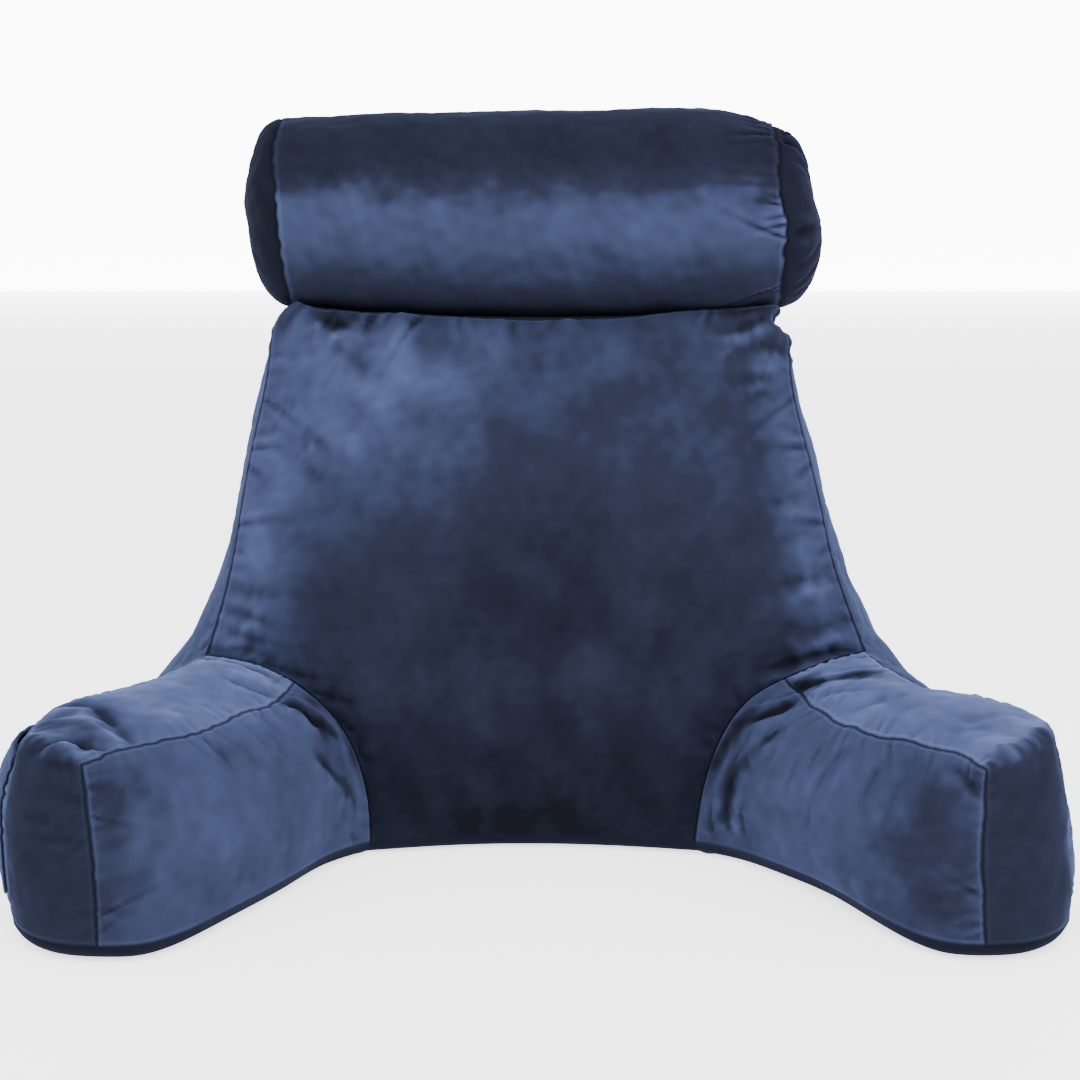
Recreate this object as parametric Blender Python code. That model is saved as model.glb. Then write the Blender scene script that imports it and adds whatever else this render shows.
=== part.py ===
"""Reading pillow: a stuffed backrest, two splayed arms, a neck roll on top and a side pocket.

Metres, +Z up. The sitter faces -Y, and +X is the left hand of someone who sits in the pillow.
The cover is drawn the way it is sewn: seam lines first, then a panel between each set of seams,
then the crown that the stuffing gives each panel, then the folds that the cloth keeps.
"""

import bmesh
import bpy
import numpy as np

# ---- driving sizes ---------------------------------------------------------------------------

GAP = 0.0003  # between pieces that touch
WELD = 0.00001  # points of two panels this close are one point of their seam
RELAX_PASSES = 400

SEAM_Z = 0.012  # the bottom seam stands this high over the floor
BOTTOM_ROUND = 0.016  # the bottom panel is flat from here inwards
BACK_Y = 0.185  # the back panel's seams
TOP_Z = 0.4200  # the middle of the backrest's top, pressed in by the neck roll
TOP_RISE = 0.160  # times x squared: how much higher the top is than in the middle
TOP_ROUND = 0.014  # the roll presses the top from here inwards
ROOT_BULGE = 0.012  # of the line where the arm's outer side runs on into the backrest
WALL_GAP = 1.2 * GAP  # the arms stop this short of the backrest

CROWDING = 0.75  # how much closer the lines of a bottom panel lie at its rim: 0 is evenly spaced
KNOT_PULL = 0.75  # a spline's parameter grows with this power of the distance between knots
SPLINE_SAMPLES = 300
FOLD_SAMPLES = 24
FOLD_END = 0.08  # a fold starts at this share of the half sine that tapers it

# Quads along each kind of edge.
ARM_HIGH, ARM_WIDE, ARM_LONG = 10, 6, 20
SIDE_HIGH, BACK_DEEP, BACK_WIDE = 26, 12, 24

# ---- seam lines ------------------------------------------------------------------------------
# Each row is a point x, y, z that the seam passes through, with x counted outwards from the middle.
# "right" is the side at +X. The two sides were stuffed by hand, so they differ a little.

SEAMS = {
    "right": {
        # the front of the arm's foot, from the inner corner outwards
        "front_bottom": [
            (0.306, -0.254, SEAM_Z),
            (0.334, -0.250, SEAM_Z),
            (0.361, -0.231, SEAM_Z),
            (0.378, -0.203, SEAM_Z),
        ],
        # along the floor on the sitter's side, from the front corner to the backrest
        "inner_bottom": [
            (0.306, -0.254, SEAM_Z),
            (0.276, -0.247, SEAM_Z),
            (0.219, -0.146, SEAM_Z),
            (0.187, -0.098, SEAM_Z),
            (0.154, -0.061, SEAM_Z),
            (0.125, -0.043, SEAM_Z),
        ],
        # up the front of the arm, at its inner and outer edge
        "inner_front": [
            (0.306, -0.254, SEAM_Z),
            (0.305, -0.242, 0.055),
            (0.305, -0.238, 0.132),
        ],
        "outer_front": [
            (0.378, -0.203, SEAM_Z),
            (0.377, -0.184, 0.070),
            (0.374, -0.173, 0.115),
            (0.371, -0.150, 0.140),
        ],
        # along the top of the arm, from its front to the backrest
        "inner_top": [
            (0.305, -0.238, 0.132),
            (0.289, -0.189, 0.131),
            (0.256, -0.157, 0.130),
            (0.232, -0.123, 0.129),
            (0.214, -0.067, 0.129),
            (0.200, 0.002, 0.134),
        ],
        "outer_top": [
            (0.371, -0.150, 0.140),
            (0.345, -0.112, 0.146),
            (0.303, -0.094, 0.150),
            (0.275, -0.056, 0.155),
            (0.264, -0.004, 0.158),
        ],
        # the curved seam that joins the arm to the backrest's front panel
        "curve_low": [
            (0.125, -0.043, SEAM_Z),
            (0.131, -0.026, 0.040),
            (0.144, -0.013, 0.080),
            (0.172, -0.002, 0.118),
            (0.200, 0.002, 0.134),
        ],
        "curve_high": [
            (0.200, 0.002, 0.134),
            (0.232, 0.000, 0.147),
            (0.264, -0.004, 0.158),
        ],
        # up the side of the backrest's front panel
        "side": [
            (0.264, -0.004, 0.158),
            (0.241, 0.030, 0.227),
            (0.228, 0.050, 0.290),
            (0.212, 0.065, 0.354),
            (0.208, 0.071, 0.394),
            (0.206, 0.075, 0.407),
            (0.1945, 0.078, 0.418),
            (0.2005, 0.080, 0.427),
            (0.196, 0.081, 0.4325),
        ],
        # along the floor on the outside, to the line where the arm meets the backrest, and on
        "outer_bottom": [
            (0.378, -0.203, SEAM_Z),
            (0.385, -0.120, SEAM_Z),
            (0.363, -0.010, SEAM_Z),
        ],
        "wing_bottom": [
            (0.363, -0.010, SEAM_Z),
            (0.335, 0.095, SEAM_Z),
            (0.290, BACK_Y, SEAM_Z),
        ],
        # up the edge of the back panel
        "back_edge": [
            (0.290, BACK_Y, SEAM_Z),
            (0.296, BACK_Y, 0.090),
            (0.274, BACK_Y, 0.145),
            (0.241, BACK_Y, 0.205),
            (0.216, BACK_Y, 0.275),
            (0.199, BACK_Y, 0.345),
            (0.182, BACK_Y, 0.425),
        ],
    },
    "left": {
        "front_bottom": [
            (0.300, -0.256, SEAM_Z),
            (0.326, -0.252, SEAM_Z),
            (0.353, -0.235, SEAM_Z),
            (0.371, -0.208, SEAM_Z),
        ],
        "inner_bottom": [
            (0.300, -0.256, SEAM_Z),
            (0.269, -0.252, SEAM_Z),
            (0.221, -0.188, SEAM_Z),
            (0.185, -0.120, SEAM_Z),
            (0.161, -0.072, SEAM_Z),
            (0.133, -0.043, SEAM_Z),
        ],
        "inner_front": [
            (0.300, -0.256, SEAM_Z),
            (0.304, -0.240, 0.050),
            (0.313, -0.226, 0.132),
        ],
        "outer_front": [
            (0.371, -0.208, SEAM_Z),
            (0.378, -0.187, 0.055),
            (0.375, -0.184, 0.100),
            (0.368, -0.160, 0.132),
        ],
        "inner_top": [
            (0.313, -0.226, 0.132),
            (0.283, -0.176, 0.131),
            (0.258, -0.153, 0.130),
            (0.224, -0.086, 0.129),
            (0.206, -0.052, 0.129),
            (0.197, -0.002, 0.132),
        ],
        "outer_top": [
            (0.368, -0.160, 0.132),
            (0.362, -0.105, 0.139),
            (0.325, -0.070, 0.144),
            (0.285, -0.040, 0.151),
            (0.266, -0.008, 0.156),
        ],
        "curve_low": [
            (0.133, -0.043, SEAM_Z),
            (0.137, -0.027, 0.045),
            (0.150, -0.016, 0.083),
            (0.172, -0.006, 0.112),
            (0.197, -0.002, 0.132),
        ],
        "curve_high": [
            (0.197, -0.002, 0.132),
            (0.231, -0.002, 0.147),
            (0.266, -0.008, 0.156),
        ],
        "side": [
            (0.266, -0.008, 0.156),
            (0.249, 0.030, 0.227),
            (0.240, 0.050, 0.290),
            (0.227, 0.065, 0.354),
            (0.2205, 0.071, 0.394),
            (0.2185, 0.0745, 0.411),
            (0.2100, 0.078, 0.426),
            (0.1985, 0.081, 0.4345),
        ],
        "outer_bottom": [
            (0.371, -0.208, SEAM_Z),
            (0.382, -0.120, SEAM_Z),
            (0.363, -0.010, SEAM_Z),
        ],
        "wing_bottom": [
            (0.363, -0.010, SEAM_Z),
            (0.337, 0.095, SEAM_Z),
            (0.294, BACK_Y, SEAM_Z),
        ],
        "back_edge": [
            (0.294, BACK_Y, SEAM_Z),
            (0.301, BACK_Y, 0.095),
            (0.281, BACK_Y, 0.150),
            (0.251, BACK_Y, 0.210),
            (0.229, BACK_Y, 0.280),
            (0.211, BACK_Y, 0.350),
            (0.190, BACK_Y, 0.427),
        ],
    },
}

# Seams that cross the middle, from the left end to the right, between the two ends named.
FRONT_BOTTOM_MIDDLE = [(-0.070, -0.031, SEAM_Z), (0.0, -0.027, SEAM_Z), (0.070, -0.033, SEAM_Z)]
FRONT_TOP_MIDDLE = [
    (-0.185, 0.080, 0.4300),
    (-0.120, 0.079, 0.4250),
    (-0.040, 0.078, 0.4205),
    (0.035, 0.078, 0.4200),
    (0.085, 0.0785, 0.4228),
    (0.130, 0.079, 0.4272),
    (0.165, 0.079, 0.4290),
]
BACK_BOTTOM_MIDDLE = [(0.0, 0.190, SEAM_Z)]
BACK_TOP_MIDDLE = [(0.0, 0.187, 0.4165)]

# How far each panel is pushed out by the stuffing, and how far in from a seam it takes to get there.
CROWNS = {
    # panel: (height, reach)
    "front": (0.030, 0.110),
    "back": (0.026, 0.110),
    "arm_inner": (0.013, 0.050),
    "arm_top": (0.007, 0.030),
    "outer": (0.013, 0.040),
}

# The folds that the cover keeps. A fold runs between two points of a panel, each given as a share
# of the way across (u) and up (v). Width is half the fold's width, and a trough's height is negative.
FOLD_COLUMNS = ("panel", "u0", "v0", "u1", "v1", "width", "height")
FOLDS = [
    # the front panel, drawn in at the ends of its side seams and over the arms
    ("front", 1.00, 0.43, 0.86, 0.44, 0.012, -0.0090),
    ("front", 1.00, 0.48, 0.88, 0.47, 0.012, 0.0050),
    ("front", 1.00, 0.53, 0.88, 0.51, 0.011, -0.0060),
    ("front", 1.00, 0.83, 0.88, 0.82, 0.012, -0.0050),
    ("front", 0.00, 0.42, 0.14, 0.43, 0.012, -0.0070),
    ("front", 0.00, 0.47, 0.14, 0.46, 0.012, 0.0050),
    ("front", 0.00, 0.52, 0.16, 0.50, 0.012, -0.0070),
    ("front", 0.10, 0.98, 0.22, 0.90, 0.012, -0.0060),
    # the tops of the arms: v runs from the backrest to the front edge and on down to the floor
    ("arm_top_right", 0.00, 0.08, 0.85, 0.25, 0.011, -0.0070),
    ("arm_top_left", 0.00, 0.07, 0.95, 0.08, 0.011, -0.0060),
    ("arm_top_left", 1.00, 0.40, 0.45, 0.43, 0.012, 0.0050),
    ("arm_top_left", 0.97, 0.44, 0.08, 0.50, 0.012, -0.0110),
    ("arm_top_left", 0.62, 0.68, 0.03, 0.55, 0.011, 0.0060),
    # the inner sides of the arms, close to the curved seam
    ("arm_inner_right", 0.75, 0.78, 0.81, 0.22, 0.011, -0.0090),
    ("arm_inner_right", 0.70, 0.78, 0.73, 0.34, 0.011, 0.0050),
    ("arm_inner_left", 0.76, 0.96, 0.76, 0.46, 0.011, -0.0080),
    ("arm_inner_left", 0.76, 0.45, 0.88, 0.20, 0.011, -0.0060),
]

# ---- neck roll -------------------------------------------------------------------------------

ROLL_Y, ROLL_Z = 0.125, 0.5050  # its axis
ROLL_ROWS = [  # x, radius: it is fullest in the middle and drawn in at the seams of its end panels
    (-0.2125, 0.0775),
    (-0.170, 0.0800),
    (-0.116, 0.0830),
    (0.0, 0.0855),
    (0.094, 0.0860),
    (0.153, 0.0848),
    (0.1945, 0.0770),
]
ROLL_DOMES = (0.033, 0.039)  # how far the left and the right end panel bulge
ROLL_AROUND, ROLL_ALONG, DOME_RINGS = 36, 20, 4
GATHERS = 9  # puckers around the right end, where the cloth was drawn up tighter
GATHER_DEPTH, GATHER_REACH = 0.0030, 0.060
DROOP, DROOP_FROM, DROOP_REACH = 0.003, 0.150, 0.045  # of the roll's top, towards its right end

# ---- pocket ----------------------------------------------------------------------------------

POCKET_V = (0.18, 0.72, 0.80)  # its foot, its hem's foot and its mouth, as shares of the arm's height
POCKET_U = (0.06, 0.72)  # its front and back end, as shares of the arm's outer length
HEM_STEP = 0.012  # from the cloth's thickness to the hem's, as a share of the arm's height
POCKET_CLOTH, POCKET_HEM = 0.0022, 0.0042
POCKET_OFF = 0.0016  # clear of the arm
POCKET_HIGH, POCKET_LONG = 6, 12  # quads

# ---- finishes --------------------------------------------------------------------------------

VELVET = (0.020, 0.033, 0.082, 1.0)
VELVET_ROUGHNESS = 0.85


# ---- curves and panels -----------------------------------------------------------------------


def smooth_line(rows, count):
    """count + 1 points, evenly spaced along the natural cubic spline through rows."""
    knots = np.array(rows, float)
    steps = np.linalg.norm(np.diff(knots, axis=0), axis=1) ** KNOT_PULL
    at = np.concatenate([[0.0], np.cumsum(steps)])
    span = np.diff(at)
    n = len(knots)
    # second derivatives: zero at both ends, and one slope at each knot between
    system, right = np.eye(n), np.zeros((n, 3))
    for i in range(1, n - 1):
        system[i, i - 1 : i + 2] = span[i - 1], 2 * (span[i - 1] + span[i]), span[i]
        after, before = knots[i + 1] - knots[i], knots[i] - knots[i - 1]
        right[i] = 6 * (after / span[i] - before / span[i - 1])
    bend = np.linalg.solve(system, right)

    def point(t):
        k = np.clip(np.searchsorted(at, t, side="right") - 1, 0, n - 2)
        done, left, h = (t - at[k])[:, None], (at[k + 1] - t)[:, None], span[k][:, None]
        curve = (bend[k] * left**3 + bend[k + 1] * done**3) / (6 * h)
        curve += (knots[k] / h - bend[k] * h / 6) * left
        return curve + (knots[k + 1] / h - bend[k + 1] * h / 6) * done

    fine = np.linspace(0, at[-1], SPLINE_SAMPLES)
    along = np.linalg.norm(np.diff(point(fine), axis=0), axis=1)
    along = np.concatenate([[0.0], np.cumsum(along)])
    line = point(np.interp(np.linspace(0, along[-1], count + 1), along, fine))
    line[0], line[-1] = knots[0], knots[-1]
    return line


def joined(*lines):
    """Lines end to end, with each shared point once."""
    return np.concatenate([lines[0]] + [line[1:] for line in lines[1:]])


def read_line(line, shares):
    """A line's points read at other shares of its length."""
    at = shares * (len(line) - 1)
    k = np.clip(at.astype(int), 0, len(line) - 2)
    part = (at - k)[:, None]
    return (1 - part) * line[k] + part * line[k + 1]


def read_grid(grid, u, v):
    """A grid's points read at shares u along its columns and v along its rows, as grid [v, u]."""
    rows, columns = grid.shape[:2]
    at_v, at_u = np.asarray(v) * (rows - 1), np.asarray(u) * (columns - 1)
    r, c = np.clip(at_v.astype(int), 0, rows - 2), np.clip(at_u.astype(int), 0, columns - 2)
    part_v, part_u = (at_v - r)[:, None, None], (at_u - c)[None, :, None]
    low = (1 - part_u) * grid[r][:, c] + part_u * grid[r][:, c + 1]
    high = (1 - part_u) * grid[r + 1][:, c] + part_u * grid[r + 1][:, c + 1]
    return (1 - part_v) * low + part_v * high


def crowded(count, low=True, high=True):
    """count + 1 shares from 0 to 1, closer together towards the ends asked for."""
    t = np.linspace(0, 1, count + 1)
    if low and high:
        return t - CROWDING * np.sin(2 * np.pi * t) / (2 * np.pi)
    towards = -1 if low else 1
    return t + towards * CROWDING * np.sin(np.pi * t) / np.pi


def panel(low, high, start, end):
    """The Coons patch between four edges, as a grid of points [v, u].

    low and high run along u, start and end run along v, and the corners are shared.
    """
    u = np.linspace(0, 1, len(low))[None, :, None]
    v = np.linspace(0, 1, len(start))[:, None, None]
    across = (1 - u) * start[:, None] + u * end[:, None]
    up = (1 - v) * low[None] + v * high[None]
    corners = (1 - v) * ((1 - u) * low[0] + u * low[-1]) + v * ((1 - u) * high[0] + u * high[-1])
    grid = across + up - corners
    grid[0], grid[-1], grid[:, 0], grid[:, -1] = low, high, start, end
    return grid


def relaxed(grid):
    """The grid with its inner points spread evenly between its edges, without kinks."""
    out = grid.copy()
    for _ in range(RELAX_PASSES):
        beside = out[1:-1, :-2] + out[1:-1, 2:]
        out[1:-1, 1:-1] = (beside + out[:-2, 1:-1] + out[2:, 1:-1]) / 4
    return out


def normals(grid, inside):
    """The unit normal at each point of a grid, turned away from a point inside the stuffing."""
    n = np.cross(np.gradient(grid, axis=1), np.gradient(grid, axis=0))
    n /= np.maximum(np.linalg.norm(n, axis=-1, keepdims=True), 1e-12)
    outwards = np.sum(n * (grid - inside)) > 0
    return n if outwards else -n


def distance(grid, line):
    """How far each point of a grid is from the nearest point of a line."""
    fine = read_line(line, np.linspace(0, 1, 4 * len(line) - 3))
    return np.linalg.norm(grid[:, :, None] - fine, axis=-1).min(axis=2)


def crowned(grid, seams, height, reach, inside):
    """The grid pushed out by the stuffing: nothing at a seam, and the whole height past its reach."""
    rise = np.full(grid.shape[:2], height)
    for seam in seams:
        rise *= np.sin(np.pi / 2 * np.clip(distance(grid, seam) / reach, 0, 1))
    return grid + normals(grid, inside) * rise[..., None]


def folded(grid, name, inside):
    """The grid with the folds that FOLDS gives this panel: a bell across, tapered to its ends."""
    out = grid.copy()
    for row in FOLDS:
        fold = dict(zip(FOLD_COLUMNS, row))
        if fold["panel"] != name:
            continue
        steps = np.linspace(0, 1, FOLD_SAMPLES)
        u = fold["u0"] + (fold["u1"] - fold["u0"]) * steps
        v = fold["v0"] + (fold["v1"] - fold["v0"]) * steps
        line = np.array([read_grid(grid, [a], [b])[0, 0] for a, b in zip(u, v)])
        gap = np.linalg.norm(grid[:, :, None] - line, axis=-1)
        taper = np.sin(np.pi * (FOLD_END + (1 - 2 * FOLD_END) * steps[gap.argmin(axis=2)]))
        rise = fold["height"] * taper * np.exp(-((gap.min(axis=2) / fold["width"]) ** 2))
        rise[0] = rise[-1] = rise[:, 0] = rise[:, -1] = 0
        out += normals(grid, inside) * rise[..., None]
    return out


def rounded_corner(grid, row):
    """The grid with the bend along a row eased, most in the middle of the row."""
    share = np.sin(np.pi * np.linspace(0, 1, grid.shape[1]))[None, :, None] / 2
    near = slice(row - 1, row + 2)
    mean = (grid[row - 2 : row + 1] + grid[row : row + 3]) / 2
    grid[near] += share * (mean - grid[near])
    return grid


def laid_flat(grid, seams):
    """A bottom panel on the floor, rounded up to its seams within BOTTOM_ROUND."""
    level = (1, 1, 0)
    near = np.min([distance(grid * level, seam * level) for seam in seams], axis=0)
    t = np.clip(1 - near / BOTTOM_ROUND, 0, 1)
    out = grid.copy()
    out[..., 2] = SEAM_Z * (1 - np.sqrt(1 - t**2))
    return out


# ---- seams -----------------------------------------------------------------------------------

COUNTS = {
    "front_bottom": ARM_WIDE,
    "inner_bottom": ARM_LONG,
    "inner_front": ARM_HIGH,
    "outer_front": ARM_HIGH,
    "inner_top": ARM_LONG,
    "outer_top": ARM_LONG,
    "curve_low": ARM_HIGH,
    "curve_high": ARM_WIDE,
    "side": SIDE_HIGH,
    "outer_bottom": ARM_LONG,
    "wing_bottom": BACK_DEEP,
    "back_edge": ARM_HIGH + SIDE_HIGH,
}


def seam_lines(side):
    """Every seam of one side at its full count, and the lines where arm and backrest part."""
    outwards = 1 if side == "right" else -1
    lines = {name: smooth_line(rows, COUNTS[name]) for name, rows in SEAMS[side].items()}
    foot, top = lines["outer_bottom"][-1], lines["outer_top"][-1]
    middle = (foot + top) / 2 + (ROOT_BULGE, 0, 0)
    lines["root"] = smooth_line([foot, middle, top], ARM_HIGH)
    front, back = lines["side"][-1], lines["back_edge"][-1]
    dip = (front + back) / 2
    dip[1:] = ROLL_Y, pressed_top(dip[0]) - GAP
    lines["shoulder"] = smooth_line([front, dip, back], BACK_DEEP)
    lines["across"] = smooth_line([lines["inner_bottom"][-1], lines["wing_bottom"][-1]], BACK_DEEP)
    floor = smooth_line([lines["inner_bottom"][-1], foot], ARM_WIDE)
    rims = [lines[name] for name in ("inner_bottom", "outer_bottom", "wing_bottom")]
    lines["floor"] = laid_flat(read_line(floor, crowded(ARM_WIDE))[None], rims)[0]
    return {name: line * (outwards, 1, 1) for name, line in lines.items()}


def across_the_middle(left, middle, right):
    """A seam from the left side to the right through the points between."""
    return smooth_line([left, *middle, right], BACK_WIDE)


# ---- panels of each piece --------------------------------------------------------------------


def outer_side(s):
    """The arm's outer panel and the backrest's wing, which are one cloth, crowned together."""
    names = ("outer_bottom", "outer_top", "outer_front", "wing_bottom", "side", "back_edge")
    seams = [s[name] for name in names]
    arm = panel(s["outer_bottom"], s["outer_top"], s["outer_front"], s["root"])
    wing = panel(s["wing_bottom"], s["shoulder"], joined(s["root"], s["side"]), s["back_edge"])
    inside = s["floor"].mean(axis=0) + (0, 0, 0.08)
    both = np.concatenate([arm, wing[: ARM_HIGH + 1, 1:]], axis=1)
    both = crowned(both, seams, *CROWNS["outer"], inside)
    wing = crowned(wing, seams, *CROWNS["outer"], inside)
    wing[-1] = s["shoulder"]
    wing[: ARM_HIGH + 1, 0] = both[:, ARM_LONG]
    return both[:, : ARM_LONG + 1], wing


def root_wall(s, wing):
    """The wall between arm and backrest, from the curved seam to the outer side."""
    return panel(s["floor"], s["curve_high"], s["curve_low"], wing[: ARM_HIGH + 1, 0])


def arm_panels(side, s, outer, wall):
    """The panels of one arm, which stops GAP short of the backrest."""
    inside = s["floor"].mean(axis=0) + (0, -0.08, 0.07)
    inner_seams = [s[n] for n in ("inner_bottom", "inner_top", "inner_front", "curve_low")]
    inner = panel(*inner_seams)
    inner = crowned(inner, inner_seams, *CROWNS["arm_inner"], inside)
    inner = folded(inner, f"arm_inner_{side}", inside)

    edges = [joined(s[f"{edge}_top"][::-1], s[f"{edge}_front"][::-1]) for edge in ("inner", "outer")]
    strip = panel(s["curve_high"], s["front_bottom"], *edges)
    strip = crowned(strip, [s["curve_high"], s["front_bottom"], *edges], *CROWNS["arm_top"], inside)
    strip = rounded_corner(strip, ARM_LONG)
    strip = folded(strip, f"arm_top_{side}", inside)

    under = panel(s["front_bottom"], s["floor"], s["inner_bottom"], s["outer_bottom"])
    shares = read_grid(under, crowded(ARM_WIDE), crowded(ARM_LONG, high=False))
    under[1:-1, 1:-1] = shares[1:-1, 1:-1]
    under = laid_flat(under, [s[n] for n in ("front_bottom", "inner_bottom", "outer_bottom")])
    under[-1] = s["floor"]

    wall, outer = wall.copy(), outer.copy()
    for edge in (wall, inner[:, -1], strip[0], outer[:, -1], under[-1]):
        edge[..., 1] -= WALL_GAP
    return [inner, strip, outer, under, wall]


def pressed_top(x):
    """How high the backrest's top is at x, where the neck roll lies in it."""
    return TOP_Z + TOP_RISE * x**2


def backrest_panels(left, right, wings, walls):
    """The panels of the backrest, with a wall at each arm."""
    rises = [joined(s["curve_low"], s["curve_high"], s["side"]) for s in (left, right)]
    front_bottom = across_the_middle(rises[0][0], FRONT_BOTTOM_MIDDLE, rises[1][0])
    front_top = across_the_middle(rises[0][-1], FRONT_TOP_MIDDLE, rises[1][-1])
    edges = [s["back_edge"] for s in (left, right)]
    back_bottom = across_the_middle(edges[0][0], BACK_BOTTOM_MIDDLE, edges[1][0])
    back_top = across_the_middle(edges[0][-1], BACK_TOP_MIDDLE, edges[1][-1])

    inside = np.array([0.0, 0.09, 0.2])
    front_seams = [front_bottom, front_top, *rises]
    front = crowned(relaxed(panel(*front_seams)), front_seams, *CROWNS["front"], inside)
    front = folded(front, "front", inside)
    back_seams = [back_bottom, back_top, *edges]
    back = crowned(panel(*back_seams), back_seams, *CROWNS["back"], inside)

    top = panel(front_top, back_top, left["shoulder"], right["shoulder"])
    rim = [front_top, back_top, left["shoulder"], right["shoulder"]]
    near = np.clip(np.min([distance(top, seam) for seam in rim], axis=0) / TOP_ROUND, 0, 1)
    top[..., 2] += (pressed_top(top[..., 0]) - top[..., 2]) * np.sin(np.pi / 2 * near)

    rims = [front_bottom, back_bottom, left["wing_bottom"], right["wing_bottom"]]
    middle = panel(front_bottom, back_bottom, left["across"], right["across"])
    middle[1:-1] = read_grid(middle, np.linspace(0, 1, BACK_WIDE + 1), crowded(BACK_DEEP))[1:-1]
    under = [laid_flat(middle, rims)]
    for s in (left, right):
        corner = np.repeat(s["wing_bottom"][-1:], ARM_WIDE + 1, axis=0)
        side = panel(s["floor"], corner, s["across"], s["wing_bottom"])
        spread = read_grid(side, crowded(ARM_WIDE), crowded(BACK_DEEP, low=False))
        side[1:-1, 1:-1] = spread[1:-1, 1:-1]
        side[1:-1, 0] = read_line(s["across"], crowded(BACK_DEEP))[1:-1]
        side = laid_flat(side, rims)
        side[0] = s["floor"]
        under.append(side)
    return [front, back, top, *wings, *walls, *under]


def pocket_panels(outer, inside):
    """The pocket's closed sheet: it lies on the arm's outer side and is thicker at its hem."""
    foot, hem, mouth = POCKET_V
    v = np.concatenate([np.linspace(foot, hem, POCKET_HIGH), [hem + HEM_STEP], [mouth]])
    thick = np.where(v > hem + HEM_STEP / 2, POCKET_HEM, POCKET_CLOTH)[:, None, None]
    u = np.linspace(*POCKET_U, POCKET_LONG + 1)
    out = normals(outer, inside)
    face, out = read_grid(outer, u, v), read_grid(out, u, v)
    under, over = face + out * POCKET_OFF, face + out * (POCKET_OFF + thick)
    rim = [np.stack([under[0], over[0]]), np.stack([under[-1], over[-1]])]
    rim += [np.stack([under[:, 0], over[:, 0]]), np.stack([under[:, -1], over[:, -1]])]
    return [under, over, *rim]


def roll_panels():
    """The neck roll: a turned body, pressed level where it rests, with a domed panel at each end."""
    rows = np.array(ROLL_ROWS)
    (x0, _), (x1, end_radius) = rows[0], rows[-1]
    x = np.linspace(x0, x1, ROLL_ALONG + 1)
    line = smooth_line([(a, b, 0) for a, b in ROLL_ROWS], 200)
    radius = np.interp(x, line[:, 0], line[:, 1])
    turn = np.linspace(0, 2 * np.pi, ROLL_AROUND + 1)

    rise = np.sin(np.linspace(0, np.pi / 2, DOME_RINGS + 1)[1:])
    fall = np.cos(np.linspace(0, np.pi / 2, DOME_RINGS + 1)[1:])
    x = np.concatenate([(x0 - ROLL_DOMES[0] * rise)[::-1], x, x1 + ROLL_DOMES[1] * rise])
    radius = np.concatenate([(radius[0] * fall)[::-1], radius, end_radius * fall])

    near = np.clip(1 - np.abs(x - x1) / GATHER_REACH, 0, 1)[:, None]
    pucker = GATHER_DEPTH * near * np.sin(np.pi * near) * np.cos(GATHERS * turn)
    radius = radius[:, None] + pucker * (radius[:, None] > 0.5 * end_radius)
    x = np.broadcast_to(x[:, None], radius.shape)
    points = np.stack([x, ROLL_Y + radius * np.cos(turn), ROLL_Z + radius * np.sin(turn)], axis=-1)
    reach = np.clip((x - DROOP_FROM) / DROOP_REACH, 0, 1)
    points[..., 2] -= DROOP * reach**2 * np.clip(np.sin(turn), 0, 1)
    points[..., 2] = np.maximum(points[..., 2], pressed_top(points[..., 0]) + GAP)
    points[:, -1] = points[:, 0]
    return [points]


# ---- objects ---------------------------------------------------------------------------------


def velvet(name):
    """A plain velvet finish of one piece's own."""
    material = bpy.data.materials.new(name)
    material.use_nodes = True
    shader = material.node_tree.nodes["Principled BSDF"]
    shader.inputs["Base Color"].default_value = VELVET
    shader.inputs["Roughness"].default_value = VELVET_ROUGHNESS
    return material


def solid(name, grids, centre):
    """One closed object from grids that share their edges, placed with centre at the origin."""
    form = bmesh.new()
    for grid in grids:
        rows, columns = grid.shape[:2]
        corners = [[form.verts.new(point) for point in row] for row in grid]
        for r in range(rows - 1):
            for c in range(columns - 1):
                form.faces.new((corners[r][c], corners[r][c + 1], corners[r + 1][c + 1], corners[r + 1][c]))
    bmesh.ops.remove_doubles(form, verts=form.verts, dist=WELD)
    bmesh.ops.triangulate(form, faces=form.faces)
    bmesh.ops.recalc_face_normals(form, faces=form.faces)
    mesh = bpy.data.meshes.new(name)
    form.to_mesh(mesh)
    form.free()
    mesh.shade_smooth()
    mesh.materials.append(velvet(f"{name}_velvet"))
    thing = bpy.data.objects.new(name, mesh)
    thing.location = (-centre[0], -centre[1], 0)
    bpy.context.scene.collection.objects.link(thing)
    return thing


def pieces():
    """The grids of every piece, by the piece's name."""
    left, right = seam_lines("left"), seam_lines("right")
    made, wings, walls = {}, [], []
    for side, s in (("left", left), ("right", right)):
        outer, wing = outer_side(s)
        wall = root_wall(s, wing)
        made[f"arm_{side}"] = arm_panels(side, s, outer, wall)
        wings.append(wing)
        walls.append(wall)
        if side == "left":
            made["side_pocket"] = pocket_panels(outer, s["floor"].mean(axis=0) + (0, 0, 0.08))
    made["backrest"] = backrest_panels(left, right, wings, walls)
    made["neck_roll"] = roll_panels()
    return made


def main():
    """Clear the scene and build each piece, with the origin under the middle of the whole."""
    for thing in list(bpy.data.objects):
        bpy.data.objects.remove(thing, do_unlink=True)
    made = pieces()
    points = np.concatenate([grid.reshape(-1, 3) for grids in made.values() for grid in grids])
    centre = (points.min(axis=0) + points.max(axis=0)) / 2
    for name, grids in made.items():
        solid(name, grids, centre)


main()
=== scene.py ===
"""Reading pillow with arms: a sewn velvet cover, a neck roll and a side pocket, in a studio."""

import logging
from dataclasses import dataclass, field
from enum import Enum

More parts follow.
